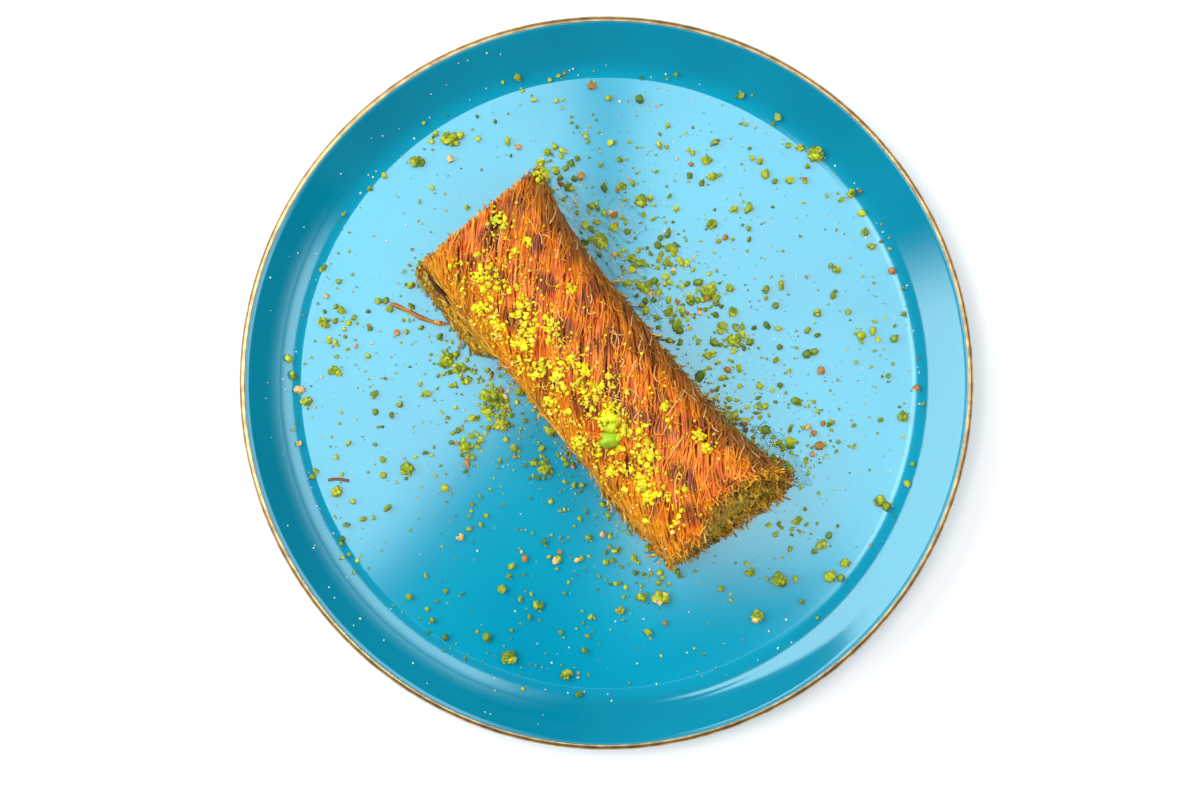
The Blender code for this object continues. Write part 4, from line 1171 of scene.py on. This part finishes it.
def lamp_material(name):
    """A surface that only gives light; returns it with its lamp, and with its place for a pattern."""
    material = bpy.data.materials.new(name)
    material.use_nodes = True
    nodes, links = material.node_tree.nodes, material.node_tree.links
    nodes.clear()
    out = nodes.new("ShaderNodeOutputMaterial")
    lamp = nodes.new("ShaderNodeEmission")
    links.new(lamp.outputs["Emission"], out.inputs["Surface"])
    split = nodes.new("ShaderNodeSeparateXYZ")
    links.new(nodes.new("ShaderNodeTexCoord").outputs["Object"], split.inputs["Vector"])
    return material, nodes, links, lamp, split.outputs


def fade(nodes, links, source, low, high):
    """A soft edge across a light: 0 below low and 1 above high."""
    return map_range(nodes, links, source, low, high, "SMOOTHSTEP")


def add_light(name, points, quads, finish, triangles=None):
    """Adds a lit surface that the camera doesn't see."""
    light = add_mesh(name, points, quads, finish, triangles, smooth=False)
    light.visible_camera = False
    light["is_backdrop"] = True


def bent_panel(name, strength, distance, azimuths, elevations, soft, faint_below=None, last_low=None):
    """A light panel bent round the plate, between two azimuths and two elevations in degrees.

    Soft holds the two Y ranges over which it grows from nothing and fades to nothing, and
    faint_below the range of heights over which it grows. Last_low is its lower elevation at
    the second azimuth, where that is another than at the first."""
    azimuth = np.radians(np.linspace(*azimuths, PANEL_COLUMNS))[:, None]
    last_low = elevations[0] if last_low is None else last_low
    low = np.linspace(elevations[0], last_low, PANEL_COLUMNS)[:, None]
    height = distance * np.tan(np.radians(low + (elevations[1] - low) * np.linspace(0.0, 1.0, 3)))
    points = np.stack([distance * np.cos(azimuth) + 0.0 * height, distance * np.sin(azimuth) + 0.0 * height,
                       height + 0.0 * azimuth], -1)
    index = np.arange(3 * PANEL_COLUMNS).reshape(PANEL_COLUMNS, 3)
    quads = np.stack([index[:-1, :-1], index[:-1, 1:], index[1:, 1:], index[1:, :-1]], 2).reshape(-1, 4)
    material, nodes, links, lamp, split = lamp_material(name)
    rise = fade(nodes, links, split["Y"], *soft[0])
    fall = fade(nodes, links, split["Y"], *soft[1])
    shape = combine(nodes, links, "SUBTRACT", rise, fall)
    if faint_below:
        shape = combine(nodes, links, "MULTIPLY", shape, fade(nodes, links, split["Z"], *faint_below))
    links.new(combine(nodes, links, "MULTIPLY", shape, strength), lamp.inputs["Strength"])
    add_light(name, points.reshape(-1, 3), quads, material)


paper, nodes, links, shader = new_material("white table", roughness=0.9, colour=(0.96, 0.96, 0.96))
shader.inputs["Emission Color"].default_value = (1.0, 1.0, 1.0, 1.0)
shader.inputs["Emission Strength"].default_value = TABLE_GLOW
corners = np.array([(-1, -1, 0), (1, -1, 0), (1, 1, 0), (-1, 1, 0)], float) * TABLE_REACH
table = add_mesh("table", corners, [[0, 1, 2, 3]], paper)
table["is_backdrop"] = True

bent_panel("window_light", strength=6.7, distance=1.2, azimuths=(150, 208), elevations=(30, 53),
           soft=((-0.56, -0.22), (0.7, 0.8)))
bent_panel("high_light", strength=8.8, distance=1.0, azimuths=(115, 250), elevations=(67, 77),
           soft=((-0.9, -0.45), (0.45, 0.9)))
bent_panel("side_light", strength=4.8, distance=1.0, azimuths=(-35, 85), elevations=(37, 62),
           soft=((-0.57, -0.3), (0.9, 1.0)), faint_below=(0.75, 1.5))
bent_panel("far_light", strength=6.7, distance=1.2, azimuths=(98, 150), elevations=(51, 53),
           soft=((0.3, 0.4), (1.15, 1.19)), last_low=30)

# The overhead card is lit in two lobes, whose edges are stated in mm where the plate's floor
# mirrors them: one beyond a slanting line on the far left, and one on the right.
card_finish, nodes, links, lamp, split = lamp_material("overhead_light")
side_x, side_y = split["X"], split["Y"]
unit = MM * (1.0 + (CARD_HEIGHT - FLOOR_TOP) / (CAMERA_PLACE[2] - FLOOR_TOP))
slanted = combine(nodes, links, "ADD", combine(nodes, links, "MULTIPLY", side_x, -0.765),
                  combine(nodes, links, "MULTIPLY", side_y, 0.644))
left_lobe = combine(nodes, links, "MULTIPLY", fade(nodes, links, slanted, 9.0 * unit, 26.0 * unit),
                    combine(nodes, links, "SUBTRACT", 1.0,
                            fade(nodes, links, side_x, -14.0 * unit, 4.0 * unit)))
right_lobe = combine(nodes, links, "MULTIPLY", fade(nodes, links, side_x, 0.0, 13.0 * unit),
                     fade(nodes, links, side_y, -66.0 * unit, -36.0 * unit))
pattern = combine(nodes, links, "MINIMUM", combine(nodes, links, "ADD", left_lobe, right_lobe), 1.0)
links.new(combine(nodes, links, "MULTIPLY", pattern, CARD_STRENGTH), lamp.inputs["Strength"])
angle = np.arange(CARD_STEPS) / CARD_STEPS * 2.0 * math.pi
edge = [CARD_RADIUS * np.cos(angle), CARD_RADIUS * np.sin(angle), np.full(CARD_STEPS, CARD_HEIGHT)]
index = np.arange(CARD_STEPS)
triangles = np.stack([np.full(CARD_STEPS, CARD_STEPS), (index + 1) % CARD_STEPS, index], 1)
points = np.concatenate([np.stack(edge, 1), [[0.0, 0.0, CARD_HEIGHT]]])
add_light("overhead_light", points, np.zeros((0, 4)), card_finish, triangles)

world = bpy.data.worlds.new("room")
bpy.context.scene.world = world
world.use_nodes = True
world.node_tree.nodes["Background"].inputs["Color"].default_value = (1.0, 1.0, 1.0, 1.0)
world.node_tree.nodes["Background"].inputs["Strength"].default_value = ROOM_LIGHT

lens = bpy.data.cameras.new("camera")
lens.sensor_width = 36.0
lens.lens = CAMERA_LENS
camera = bpy.data.objects.new("camera", lens)
camera.location = CAMERA_PLACE
bpy.context.scene.collection.objects.link(camera)
bpy.context.scene.camera = camera
bpy.context.scene.view_settings.view_transform = "Standard"

low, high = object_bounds()
